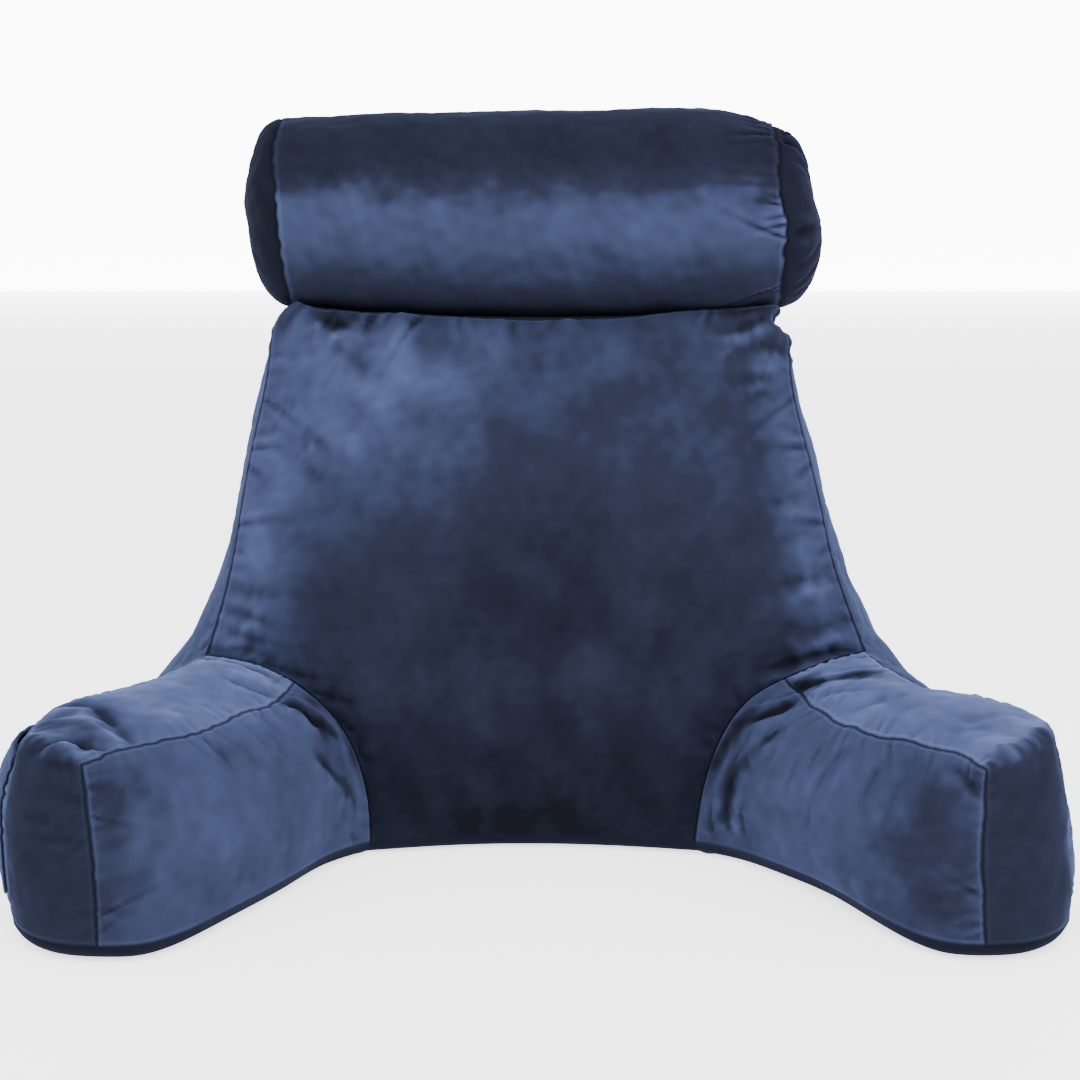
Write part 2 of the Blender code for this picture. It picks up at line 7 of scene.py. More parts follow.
import bpy
import numpy as np
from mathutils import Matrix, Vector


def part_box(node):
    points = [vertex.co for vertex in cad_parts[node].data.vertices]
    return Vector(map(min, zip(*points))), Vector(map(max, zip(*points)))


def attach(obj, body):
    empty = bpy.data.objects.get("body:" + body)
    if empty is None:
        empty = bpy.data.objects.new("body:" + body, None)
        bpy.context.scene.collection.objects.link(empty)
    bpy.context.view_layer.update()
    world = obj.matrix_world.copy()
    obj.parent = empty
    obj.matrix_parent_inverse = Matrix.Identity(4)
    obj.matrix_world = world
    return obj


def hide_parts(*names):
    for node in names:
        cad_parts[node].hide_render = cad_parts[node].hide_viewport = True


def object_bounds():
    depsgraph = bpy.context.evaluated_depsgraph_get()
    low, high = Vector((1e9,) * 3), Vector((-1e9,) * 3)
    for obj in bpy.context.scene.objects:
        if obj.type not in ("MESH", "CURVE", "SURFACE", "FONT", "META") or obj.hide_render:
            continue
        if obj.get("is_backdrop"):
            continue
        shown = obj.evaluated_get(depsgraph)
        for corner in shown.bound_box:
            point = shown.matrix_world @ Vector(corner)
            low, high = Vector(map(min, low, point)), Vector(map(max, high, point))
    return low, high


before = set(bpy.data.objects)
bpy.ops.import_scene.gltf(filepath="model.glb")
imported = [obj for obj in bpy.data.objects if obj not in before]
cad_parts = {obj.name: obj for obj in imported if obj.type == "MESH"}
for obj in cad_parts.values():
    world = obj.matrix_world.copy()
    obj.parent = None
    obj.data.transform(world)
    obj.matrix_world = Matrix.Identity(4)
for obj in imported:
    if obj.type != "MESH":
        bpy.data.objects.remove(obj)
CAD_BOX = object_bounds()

LOG = logging.getLogger("reading_pillow")
Grid = np.ndarray  # points or numbers [v, u]
Line = np.ndarray  # points [i]
Point = tuple[float, float, float]
Path = tuple[tuple[float, float], ...]  # places of a panel, as shares u and v
Tree = bpy.types.NodeTree
Socket = bpy.types.NodeSocket

# ---- seam lines ------------------------------------------------------------------------------
# Each row is a point x, y, z that the seam passes through, with x counted outwards from the middle,
# in the cloth's own pattern frame.

SEAM_Z = 0.012  # the bottom seam stands this high over the floor
BACK_Y = 0.185  # the back panel's seams
ROLL_Y = 0.125  # the neck roll's axis
CLOTH_RIGHT = 0.006  # how far the pattern's middle lies right of the model's

SEAMS = {
    "right": {
        # the front of the arm's foot, from the inner corner outwards
        "front_bottom": [
            (0.306, -0.254, SEAM_Z), (0.334, -0.25, SEAM_Z), (0.361, -0.231, SEAM_Z),
            (0.378, -0.203, SEAM_Z),
        ],
        # along the floor on the sitter's side, from the front corner to the backrest
        "inner_bottom": [
            (0.306, -0.254, SEAM_Z), (0.276, -0.247, SEAM_Z), (0.219, -0.146, SEAM_Z),
            (0.187, -0.098, SEAM_Z), (0.154, -0.061, SEAM_Z), (0.125, -0.043, SEAM_Z),
        ],
        # up the front of the arm, at its inner and outer edge
        "inner_front": [(0.306, -0.254, SEAM_Z), (0.305, -0.242, 0.055), (0.305, -0.238, 0.132)],
        "outer_front": [
            (0.378, -0.203, SEAM_Z), (0.377, -0.184, 0.07), (0.374, -0.173, 0.115),
            (0.371, -0.15, 0.14),
        ],
        # along the top of the arm, from its front to the backrest
        "inner_top": [
            (0.305, -0.238, 0.132), (0.289, -0.189, 0.131), (0.256, -0.157, 0.13),
            (0.232, -0.123, 0.129), (0.214, -0.067, 0.129), (0.2, 0.002, 0.134),
        ],
        "outer_top": [
            (0.371, -0.15, 0.14), (0.345, -0.112, 0.146), (0.303, -0.094, 0.15),
            (0.275, -0.056, 0.155), (0.264, -0.004, 0.158),
        ],
        # the curved seam that joins the arm to the backrest's front panel
        "curve_low": [
            (0.125, -0.043, SEAM_Z), (0.131, -0.026, 0.04), (0.144, -0.013, 0.08),
            (0.172, -0.002, 0.118), (0.2, 0.002, 0.134),
        ],
        "curve_high": [(0.2, 0.002, 0.134), (0.232, 0.0, 0.147), (0.264, -0.004, 0.158)],
        # up the side of the backrest's front panel
        "side": [
            (0.264, -0.004, 0.158), (0.241, 0.03, 0.227), (0.228, 0.05, 0.29),
            (0.212, 0.065, 0.354), (0.208, 0.071, 0.394), (0.206, 0.075, 0.407),
            (0.1945, 0.078, 0.418), (0.2005, 0.08, 0.427), (0.196, 0.081, 0.4325),
        ],
        # along the floor on the outside, to the line where the arm meets the backrest, and on
        "outer_bottom": [(0.378, -0.203, SEAM_Z), (0.385, -0.12, SEAM_Z), (0.363, -0.01, SEAM_Z)],
        "wing_bottom": [(0.363, -0.01, SEAM_Z), (0.335, 0.095, SEAM_Z), (0.29, BACK_Y, SEAM_Z)],
        # up the edge of the back panel
        "back_edge": [
            (0.29, BACK_Y, SEAM_Z), (0.296, BACK_Y, 0.09), (0.274, BACK_Y, 0.145),
            (0.241, BACK_Y, 0.205), (0.216, BACK_Y, 0.275), (0.199, BACK_Y, 0.345),
            (0.182, BACK_Y, 0.425),
        ],
    },
    "left": {
        "front_bottom": [
            (0.3, -0.256, SEAM_Z), (0.326, -0.252, SEAM_Z), (0.353, -0.235, SEAM_Z),
            (0.371, -0.208, SEAM_Z),
        ],
        "inner_bottom": [
            (0.3, -0.256, SEAM_Z), (0.269, -0.252, SEAM_Z), (0.221, -0.188, SEAM_Z),
            (0.185, -0.12, SEAM_Z), (0.161, -0.072, SEAM_Z), (0.133, -0.043, SEAM_Z),
        ],
        "inner_front": [(0.3, -0.256, SEAM_Z), (0.304, -0.24, 0.05), (0.313, -0.226, 0.132)],
        "outer_front": [
            (0.371, -0.208, SEAM_Z), (0.378, -0.187, 0.055), (0.375, -0.184, 0.1),
            (0.368, -0.16, 0.132),
        ],
        "inner_top": [
            (0.313, -0.226, 0.132), (0.283, -0.176, 0.131), (0.258, -0.153, 0.13),
            (0.224, -0.086, 0.129), (0.206, -0.052, 0.129), (0.197, -0.002, 0.132),
        ],
        "outer_top": [
            (0.368, -0.16, 0.132), (0.362, -0.105, 0.139), (0.325, -0.07, 0.144),
            (0.285, -0.04, 0.151), (0.266, -0.008, 0.156),
        ],
        "curve_low": [
            (0.133, -0.043, SEAM_Z), (0.137, -0.027, 0.045), (0.15, -0.016, 0.083),
            (0.172, -0.006, 0.112), (0.197, -0.002, 0.132),
        ],
        "curve_high": [(0.197, -0.002, 0.132), (0.231, -0.002, 0.147), (0.266, -0.008, 0.156)],
        "side": [
            (0.266, -0.008, 0.156), (0.249, 0.03, 0.227), (0.24, 0.05, 0.29), (0.227, 0.065, 0.354),
            (0.2205, 0.071, 0.394), (0.2185, 0.0745, 0.411), (0.21, 0.078, 0.426),
            (0.1985, 0.081, 0.4345),
        ],
        "outer_bottom": [(0.371, -0.208, SEAM_Z), (0.382, -0.12, SEAM_Z), (0.363, -0.01, SEAM_Z)],
        "wing_bottom": [(0.363, -0.01, SEAM_Z), (0.337, 0.095, SEAM_Z), (0.294, BACK_Y, SEAM_Z)],
        "back_edge": [
            (0.294, BACK_Y, SEAM_Z), (0.301, BACK_Y, 0.095), (0.281, BACK_Y, 0.15),
            (0.251, BACK_Y, 0.21), (0.229, BACK_Y, 0.28), (0.211, BACK_Y, 0.35),
            (0.19, BACK_Y, 0.427),
        ],
    },
}

# Seams that cross the middle, from the left end to the right, between the two ends named.
FRONT_BOTTOM_MIDDLE = [(-0.070, -0.031, SEAM_Z), (0.0, -0.027, SEAM_Z), (0.070, -0.033, SEAM_Z)]
FRONT_TOP_MIDDLE = [
    (-0.185, 0.08, 0.43), (-0.12, 0.079, 0.425), (-0.04, 0.078, 0.4205), (0.035, 0.078, 0.42),
    (0.085, 0.0785, 0.4228), (0.13, 0.079, 0.4272), (0.165, 0.079, 0.429),
]
BACK_BOTTOM_MIDDLE = [(0.0, 0.190, SEAM_Z)]
BACK_TOP_MIDDLE = [(0.0, 0.187, 0.4165)]


class Side(Enum):
    """The two sides of the pillow, with the way that x is counted on each."""

    LEFT = -1
    RIGHT = 1

    @property
    def word(self) -> str:
        """The side's name in the tables."""
        return self.name.lower()


class Piece(Enum):
    """The names of the dressed pieces."""

    COVER = "cover"
    ROLL = "neck_roll_cover"
    POCKET = "side_pocket_cloth"


# ---- curves and grids ------------------------------------------------------------------------


def bell(x: Grid, width: float = 1.0) -> Grid:
    """A bell, 1 where x is 0: the exponential of minus the square of x over the width."""
    return np.exp(-((x / width) ** 2))


def step_up(x: Grid, width: float) -> Grid:
    """A soft step from 0 to 1 around x = 0: the logistic curve of x over the width."""
    return 1 / (1 + np.exp(-x / width))


def lengths(line: Line, power: float = 1.0) -> np.ndarray:
    """How far along a line each of its points is, with each step raised to a power."""
    steps = np.linalg.norm(np.diff(line, axis=0), axis=1) ** power
    return np.concatenate([[0.0], np.cumsum(steps)])


def sideless(name: str) -> str:
    """The name of a panel or seam without its side."""
    return name.removesuffix("_left").removesuffix("_right")


def placed(name: str, data: bpy.types.ID, at: Point = (0, 0, 0)) -> bpy.types.Object:
    """An object of some data, in the scene.

    Args:
        name: the object's name.
        data: its mesh, lamp or camera.
        at: its place.

    Returns:
        The object.
    """
    made = bpy.data.objects.new(name, data)
    made.location = at
    bpy.context.scene.collection.objects.link(made)
    return made


def smooth_line(rows: list[Point], shares: np.ndarray) -> Line:
    """Points at shares of the length of the natural cubic spline through rows.

    Between two knots a spline is the blend of both knots and of their second derivatives, which
    come from one linear system: zero at both ends, one slope at each knot between.

    Args:
        rows: the knots.
        shares: numbers from 0 to 1.

    Returns:
        A point for each share.
    """
    knots = np.array(rows, float)
    at = lengths(knots, 0.75)
    span, n = np.diff(at), len(knots)
    system, right = np.eye(n), np.zeros((n, 3))
    for i in range(1, n - 1):
        system[i, i - 1 : i + 2] = span[i - 1], 2 * (span[i - 1] + span[i]), span[i]
        after, before = knots[i + 1] - knots[i], knots[i] - knots[i - 1]
        right[i] = 6 * (after / span[i] - before / span[i - 1])
    bend = np.linalg.solve(system, right)

    def point(t: np.ndarray) -> Line:
        """The spline's points at the parameters t.

        Args:
            t: places in the spline's parameter.

        Returns:
            A point for each place.
        """
        k = np.clip(np.searchsorted(at, t, side="right") - 1, 0, n - 2)
        done, left, h = (t - at[k])[:, None], (at[k + 1] - t)[:, None], span[k][:, None]
        curve = (bend[k] * left**3 + bend[k + 1] * done**3) / (6 * h)
        curve += (knots[k] / h - bend[k] * h / 6) * left
        return curve + (knots[k + 1] / h - bend[k + 1] * h / 6) * done

    fine = np.linspace(0, at[-1], 600)
    along = lengths(point(fine))
    line = point(np.interp(shares * along[-1], along, fine))
    line[0], line[-1] = knots[0], knots[-1]
    return line


def joined(*lines: Line) -> Line:
    """Lines end to end, with each shared point once."""
    return np.concatenate([lines[0]] + [line[1:] for line in lines[1:]])


def crowded(count: int, pull: float = 0.4) -> np.ndarray:
    """count + 1 shares from 0 to 1, closer at both ends: t less pull times a sine of one turn."""
    t = np.linspace(0, 1, count + 1)
    return t - pull * np.sin(2 * np.pi * t) / (2 * np.pi)


def cubic_rows(grid: Grid, at: np.ndarray) -> Grid:
    """A grid read between its rows, by the Catmull-Rom cubic of the four rows around.

    Args:
        grid: rows of points or numbers.
        at: the places to read, counted in rows.

    Returns:
        A row for each place.
    """
    wide = np.concatenate([2 * grid[:1] - grid[1:2], grid, 2 * grid[-1:] - grid[-2:-1]])
    k = np.clip(at.astype(int), 0, len(grid) - 2)
    t = (at - k).reshape(-1, *[1] * (grid.ndim - 1))
    a, b, c, d = wide[k], wide[k + 1], wide[k + 2], wide[k + 3]
    bend = 2 * a - 5 * b + 4 * c - d
    return 0.5 * (2 * b + (c - a) * t + bend * t**2 + (3 * b - a - 3 * c + d) * t**3)


def read_grid(grid: Grid, u: np.ndarray, v: np.ndarray) -> Grid:
    """A grid read at shares u of its columns and v of its rows, by cubics each way."""
    tall = cubic_rows(grid, np.asarray(v, float) * (grid.shape[0] - 1)).swapaxes(0, 1)
    return cubic_rows(tall, np.asarray(u, float) * (grid.shape[1] - 1)).swapaxes(0, 1)


def coons(low: Line, high: Line, start: Line, end: Line) -> Grid:
    """The Coons patch between four edges: low and high run along u, start and end along v.

    It is the blend of low and high, plus the blend of start and end, less the blend of the four
    corners.

    Args:
        low: the edge along u where v is 0.
        high: the edge along u where v is 1.
        start: the edge along v where u is 0.
        end: the edge along v where u is 1.

    Returns:
        The patch's points.
    """
    u = np.linspace(0, 1, len(low))[None, :, None]
    v = np.linspace(0, 1, len(start))[:, None, None]
    across = (1 - u) * start[:, None] + u * end[:, None]
    up = (1 - v) * low[None] + v * high[None]
    corners = (1 - v) * ((1 - u) * low[0] + u * low[-1]) + v * ((1 - u) * high[0] + u * high[-1])
    grid = across + up - corners
    grid[0], grid[-1], grid[:, 0], grid[:, -1] = low, high, start, end
    return grid


def settled(grid: Grid, passes: int) -> Grid:
    """The grid with each inner point at the mean of its four neighbours, over some passes.

    Args:
        grid: points, of which the rim stays.
        passes: how often they are moved.

    Returns:
        The settled copy.
    """
    out = grid.copy()
    for _ in range(passes):
        beside = out[1:-1, :-2] + out[1:-1, 2:]
        out[1:-1, 1:-1] = (beside + out[:-2, 1:-1] + out[2:, 1:-1]) / 4
    return out


def length_shares(*lines: Line) -> np.ndarray:
    """Where the points of some lines lie, as shares of the length, in the mean of the lines.

    Args:
        *lines: lines with the same count of points.

    Returns:
        A share for each point.
    """
    steps = [np.linalg.norm(np.diff(line, axis=0), axis=1) for line in lines]
    alongs = [np.concatenate([[0.0], np.cumsum(step)]) / step.sum() for step in steps]
    return np.mean(alongs, axis=0)


def relaxed(low: Line, high: Line, start: Line, end: Line, form: int = 48) -> Grid:
    """A patch without kinks between four edges: the soap film that they would hold.

    A coarse film is settled first and read onto a finer one, which settles again. What the film
    misses at the edges is added beside each of them, and fades out within a few rows.

    Args:
        low: the edge along u where v is 0.
        high: the edge along u where v is 1.
        start: the edge along v where u is 0.
        end: the edge along v where u is 1.
        form: how many quads the finer film has each way.

    Returns:
        The patch's points, spaced as its edges are.
    """
    u, v = length_shares(low, high), length_shares(start, end)
    half = np.linspace(0, 1, form + 1)
    at_u, at_v = np.interp(half, u, np.arange(len(u))), np.interp(half, v, np.arange(len(v)))
    edges = ((low, at_u), (high, at_u), (start, at_v), (end, at_v))
    film = coons(*(cubic_rows(edge, at) for edge, at in edges))
    inner = read_grid(settled(film[::2, ::2], 500), half, half)
    film[1:-1, 1:-1] = inner[1:-1, 1:-1]
    grid = read_grid(settled(film, 120), u, v)
    down, across = (bell(np.arange(n), 5)[:, None] for n in (len(v), len(u)))
    grid += down[:, None] * (low - grid[0]) + down[::-1, None] * (high - grid[-1])
    grid += across * (start - grid[:, 0])[:, None] + across[::-1] * (end - grid[:, -1])[:, None]
    return settled(grid, 4)


def normals(grid: Grid, inside: np.ndarray) -> Grid:
    """The unit normal at each point of a grid, turned away from a point inside the stuffing.

    Args:
        grid: the surface's points.
        inside: a point within the stuffing.

    Returns:
        A vector for each point.
    """
    n = np.cross(np.gradient(grid, axis=1), np.gradient(grid, axis=0))
    n /= np.maximum(np.linalg.norm(n, axis=-1, keepdims=True), 1e-12)
    return n if np.sum(n * (grid - inside)) > 0 else -n


def nearest(grid: Grid, line: Line) -> tuple[Grid, Grid]:
    """How far each point of a grid is from a line, and how far along the line the nearest place is.

    The line is read at four places a step. The square of a distance is the sum of both squares
    less twice the dot product.

    Args:
        grid: the points.
        line: the line.

    Returns:
        The distances, and the lengths along the line.
    """
    fine = cubic_rows(line, np.linspace(0, len(line) - 1, 4 * len(line) - 3))
    along = lengths(fine)
    points, middle = grid.reshape(-1, 3), fine.mean(axis=0)
    points, fine = points - middle, fine - middle
    gap, where = np.empty(len(points)), np.empty(len(points))
    for part in np.array_split(np.arange(len(points)), 1 + len(points) // 6000):
        square = (points[part] ** 2).sum(axis=1)[:, None] + (fine**2).sum(axis=1)
        square = np.maximum(square - 2 * points[part] @ fine.T, 0)
        best = square.argmin(axis=1)
        gap[part] = np.sqrt(np.take_along_axis(square, best[:, None], axis=1)[:, 0])
        where[part] = along[best]
    return gap.reshape(grid.shape[:2]), where.reshape(grid.shape[:2])


def waves(at: np.ndarray, length: float, seed: int, count: int = 5) -> np.ndarray:
    """Smooth noise along a line, from about -1 to 1: the mean of cosines around one wavelength.

    Args:
        at: places along the line.
        length: the usual wavelength.
        seed: what the random draws start from.
        count: how many cosines are summed.

    Returns:
        A number for each place.
    """
    rng = np.random.default_rng(seed)
    periods = length * rng.uniform(0.6, 1.9, count)
    phases = rng.uniform(0, 2 * np.pi, count)
    total = np.cos(2 * np.pi * at[..., None] / periods + phases).sum(axis=-1)
    return total / np.sqrt(count)


def swell(points: Grid, length: float, seed: int, count: int = 26) -> Grid:
    """Smooth noise in space, from about -1 to 1: the mean of plane waves in every direction.

    Args:
        points: places in space.
        length: the usual wavelength.
        seed: what the random draws start from.
        count: how many waves are summed.

    Returns:
        A number for each point.
    """
    rng = np.random.default_rng(seed)
    ways = rng.normal(size=(count, 3))
    ways *= 2 * np.pi / (np.linalg.norm(ways, axis=1, keepdims=True) * length)
    ways *= rng.uniform(0.6, 1.6, (count, 1))
    total = np.cos(points @ ways.T + rng.uniform(0, 2 * np.pi, count)).sum(axis=-1)
    return total * np.sqrt(2.0 / count)


def creases(
    along: Grid, gap: Grid, spacing: float, reach: float, seed: int, lean: float = 0.6
) -> Grid:
    """The rise of puckers across a seam, for a height of 1.

    Each pucker is a sharp crease between two soft ridges. It starts beside the seam, leans and
    widens as it runs in, and dies out. Its place, length, lean, width and depth are random.

    Args:
        along: how far along the seam each point is.
        gap: how far from the seam it is.
        spacing: the usual distance between puckers.
        reach: how far they usually run in.
        seed: what the random draws start from.
        lean: the slope of the most slanted one.

    Returns:
        The rise at each point.
    """
    rng = np.random.default_rng(seed)
    rise = np.zeros(gap.shape)
    for place in np.arange(0.5 * spacing, along.max(), spacing):
        place += spacing * rng.uniform(-0.45, 0.45)
        length = reach * np.clip(np.exp(0.5 * rng.normal()), 0.4, 2.6)
        deep = np.clip(np.exp(0.5 * rng.normal()), 0.2, 2.2)
        deep *= np.clip(0.65 + 0.6 * waves(np.array(place), 0.07, seed + 1), 0.1, 1.4)
        slope, width = rng.uniform(-lean, lean), spacing * rng.uniform(0.15, 0.28)
        off = (along - place - slope * gap) / (width * (0.7 + 0.6 * gap / length))
        crease = np.exp(-1.5 * (np.sqrt(off**2 + 0.05) - 0.22))
        ridges = bell(np.abs(off) - 1.7, 0.9)
        rise += deep * (0.6 * ridges - crease) * np.exp(-((gap / length) ** 1.6))
    return rise * (1 - bell(gap, PUCKER_START))


# ---- cloth -----------------------------------------------------------------------------------


@dataclass
class Patch:
    """One panel of cloth.

    grid holds the pattern's points, which neighbours share at their edges, and points and the tone
    are what the stuffing, the folds, the pile and the painted light and shade make of them. A tone
    of 0 is the darkest and 1 the lightest: the pile's own tone with painted highlights on ridges
    and painted shade in troughs and seams.
    """

    name: str
    grid: Grid
    seams: dict[str, Line]
    inside: np.ndarray
    stuffed: bool = True
    points: Grid = field(init=False)
    nap: Grid = field(init=False)
    near: dict[str, tuple[Grid, Grid]] = field(init=False)
    clear: Grid = field(init=False)

    def __post_init__(self) -> None:
        """Measure every point against the panel's own seams."""
        self.points = self.grid.copy()
        self.nap = np.zeros(self.grid.shape[:2])
        self.near = {name: nearest(self.grid, line) for name, line in self.seams.items()}
        gaps = [gap for gap, _ in self.near.values()]
        self.clear = np.min(gaps, axis=0) if gaps else np.zeros(self.grid.shape[:2])

    def normals(self) -> Grid:
        """The outward unit normals of the points as they are now."""
        return normals(self.points, self.inside)

    def lift(self, rise: Grid, shade: float = 0.0) -> None:
        """Push each point out by rise, and paint the tone lighter by shade for each metre of it:
        painted highlight where the cloth rises, painted shade where it sinks.
        """
        self.points += self.normals() * rise[..., None]
        self.nap += shade * rise

    def crown(self, height: float, reach: float) -> None:
        """The stuffing's push: the height times a quarter sine of the distance from every seam.

        Args:
            height: the push far from every seam.
            reach: how far in it gets there.
        """
        rise = np.full(self.clear.shape, height)
        for gap, _ in self.near.values():
            rise *= np.sin(np.pi / 2 * np.clip(gap / reach, 0, 1))
        self.lift(rise)

    def lip(self, height: float, reach: float) -> None:
        """The cloth's quick roll out of a seam: the height less an exponential of the distance."""
        self.lift(height * (1 - bell(self.clear, reach)))

    def roughen(self, rows: tuple[tuple[float, ...], ...], calm: Grid | float = 1.0) -> None:
        """Make the cloth softly uneven, its rises painted lighter and its hollows darker. Rows hold
        height, wavelength, seed and shade.
        """
        for height, length, seed, shade in rows:
            self.lift(calm * height * swell(self.grid, length, seed), shade)

    def draw_seams(self) -> None:
        """Paint shading along the seams: a dark line of painted shade in the seam, and a pale
        hairline of painted highlight beside it where the cloth turns over.

        The seams along the floor are rolled under, and show only close to an arm's front.
        """
        shade = np.zeros(self.clear.shape)
        for name, (gap, along) in self.near.items():
            shows = 1.0
            if name.startswith(FLOOR_SEAMS):
                shows = bell(along, FLOOR_SEAM_SHOWS) if name.startswith("inner") else 0.0
            line = -SEAM_SHADE * bell(gap, SEAM_LINE)
            line += SEAM_HIGHLIGHT * bell(gap / SEAM_LINE - HAIRLINE, HAIRLINE_WIDE)
            shade = np.where(np.abs(line * shows) > np.abs(shade), line * shows, shade)
        self.nap += shade

    def gather(self, seam: str, spacing: float, reach: float, height: float, seed: int) -> None:
        """Puckers across a seam, clear of the panel's other seams, with painted highlights on their
        ridges and painted shade in their creases.

        Args:
            seam: the seam's name in this panel.
            spacing: the usual distance between puckers.
            reach: how far they usually run in.
            height: how high they stand.
            seed: what the random draws start from.
        """
        gap, along = self.near[seam]
        rise = height * creases(along, gap, spacing, reach, seed)
        for name, (other, _) in self.near.items():
            if name != seam:
                rise *= np.clip(other / GATHER_CLEAR, 0, 1)
        self.lift(rise, SHADING_PER_METRE)

    def by_path(self, width: float, path: Path) -> tuple[Grid, Grid]:
        """How far each point is from a smooth path through places of the panel, and a taper.

        The distance is in half widths, which vary along the path, and is signed by the side. The
        taper is uneven along the path and falls to both ends.

        Args:
            width: the usual half width.
            path: the places that it passes through.

        Returns:
            The distance and the taper at each point.
        """
        steps = np.linspace(0, 1, 33)
        shares = smooth_line([(u, v, 0) for u, v in path], steps)[:, :2]
        last = np.array(self.clear.shape)[::-1] - 1
        at = np.clip(shares, 0, 1) * last
        column, row = np.minimum(at.astype(int), last - 1).T
        part_u, part_v = (at - np.stack([column, row], axis=-1)).T[..., None]
        low, high = (
            (1 - part_u) * self.points[r, column] + part_u * self.points[r, column + 1]
            for r in (row, row + 1)
        )
        line = (1 - part_v) * low + part_v * high
        best = np.linalg.norm(self.points[:, :, None] - line, axis=-1).argmin(axis=2)
        tangent = np.gradient(line, axis=0)[best]
        apart = self.points - line[best]
        part = np.sum(apart * tangent, axis=-1) / np.sum(tangent**2, axis=-1)
        part = np.clip(part, -0.5, 0.5)
        apart -= part[..., None] * tangent
        gap = np.linalg.norm(apart, axis=-1)
        side = np.sign(np.sum(np.cross(tangent, self.normals()) * apart, axis=-1))
        seed = int(1000 * (path[0][0] + path[-1][1]))
        taper = np.sin(np.pi * (0.05 + 0.90 * steps)) ** 0.7
        taper *= 1 + 0.25 * waves(steps, 0.3, seed + 1)
        place = (best + part) * steps[1]
        broad = width * np.interp(place, steps, 1 + 0.30 * waves(steps, 0.35, seed))
        return side * gap / broad, np.interp(place, steps, taper)

    def fold(self, width: float, height: float, path: Path) -> None:
        """One fold along a path: a trough if the height is negative, or a ridge.

        Across it is a bell of the distance, with a sharp bottom in a trough. A trough has a low
        ridge beside it, two widths off to one side. The tone is painted lighter where the cloth
        rises
        and darker where it sinks: painted highlight and painted shade.

        Args:
            width: the half width.
            height: how high it stands, or how deep if negative.
            path: the places that it passes through.
        """
        off, taper = self.by_path(width, path)
        if height < 0:
            across = np.exp(-1.6 * (np.sqrt(off**2 + 0.06) - 0.245)) - 0.4 * bell(off - 1.9)
        else:
            across = 0.7 * bell(off)
        across *= np.clip(self.clear / FOLD_CLEAR, 0, 1)
        self.lift(height * taper * across, 1.3 * SHADING_PER_METRE)

    def streak(self, width: float, value: float, path: Path) -> None:
        """Change the tone by a bell of the distance from a path: painted shade along a fold where
        the value is negative, painted highlight where it is positive.
        """
        off, taper = self.by_path(width, path)
        self.nap += value * taper * bell(off)

    def comb(self, from_v: float, value: float, soft: float = 0.018) -> None:
        """Change the tone past a line across the panel, with a ragged border: on an arm this paints
        shade on its front face.

        Args:
            from_v: the share v where the line lies.
            value: the change of the tone past it.
            soft: the border's width, as a share.
        """
        v = np.linspace(0, 1, self.nap.shape[0])[:, None]
        ragged = 0.3 * soft * (swell(self.grid, 0.016, 51) + swell(self.grid, 0.007, 52))
        self.nap += value * step_up(v - from_v + ragged, 0.5 * soft)

    def lie(self, u: float, v: float, wide: float, tall: float, value: float) -> None:
        """One soft zone of changed tone, for the pile and for painted light and shade: a bell in
        the panel's own shares.

        Args:
            u: the middle's share across the panel.
            v: the middle's share up the panel.
            wide: the half width, as a share.
            tall: the half height, as a share.
            value: the change of the tone.
        """
        tall_at = np.linspace(0, 1, self.nap.shape[0])[:, None]
        wide_at = np.linspace(0, 1, self.nap.shape[1])[None]
        uneven = 1 + 0.15 * swell(self.grid, 0.045, 81) + 0.06 * swell(self.grid, 0.014, 82)
        self.nap += value * bell(wide_at - u, wide) * bell(tall_at - v, tall) * uneven


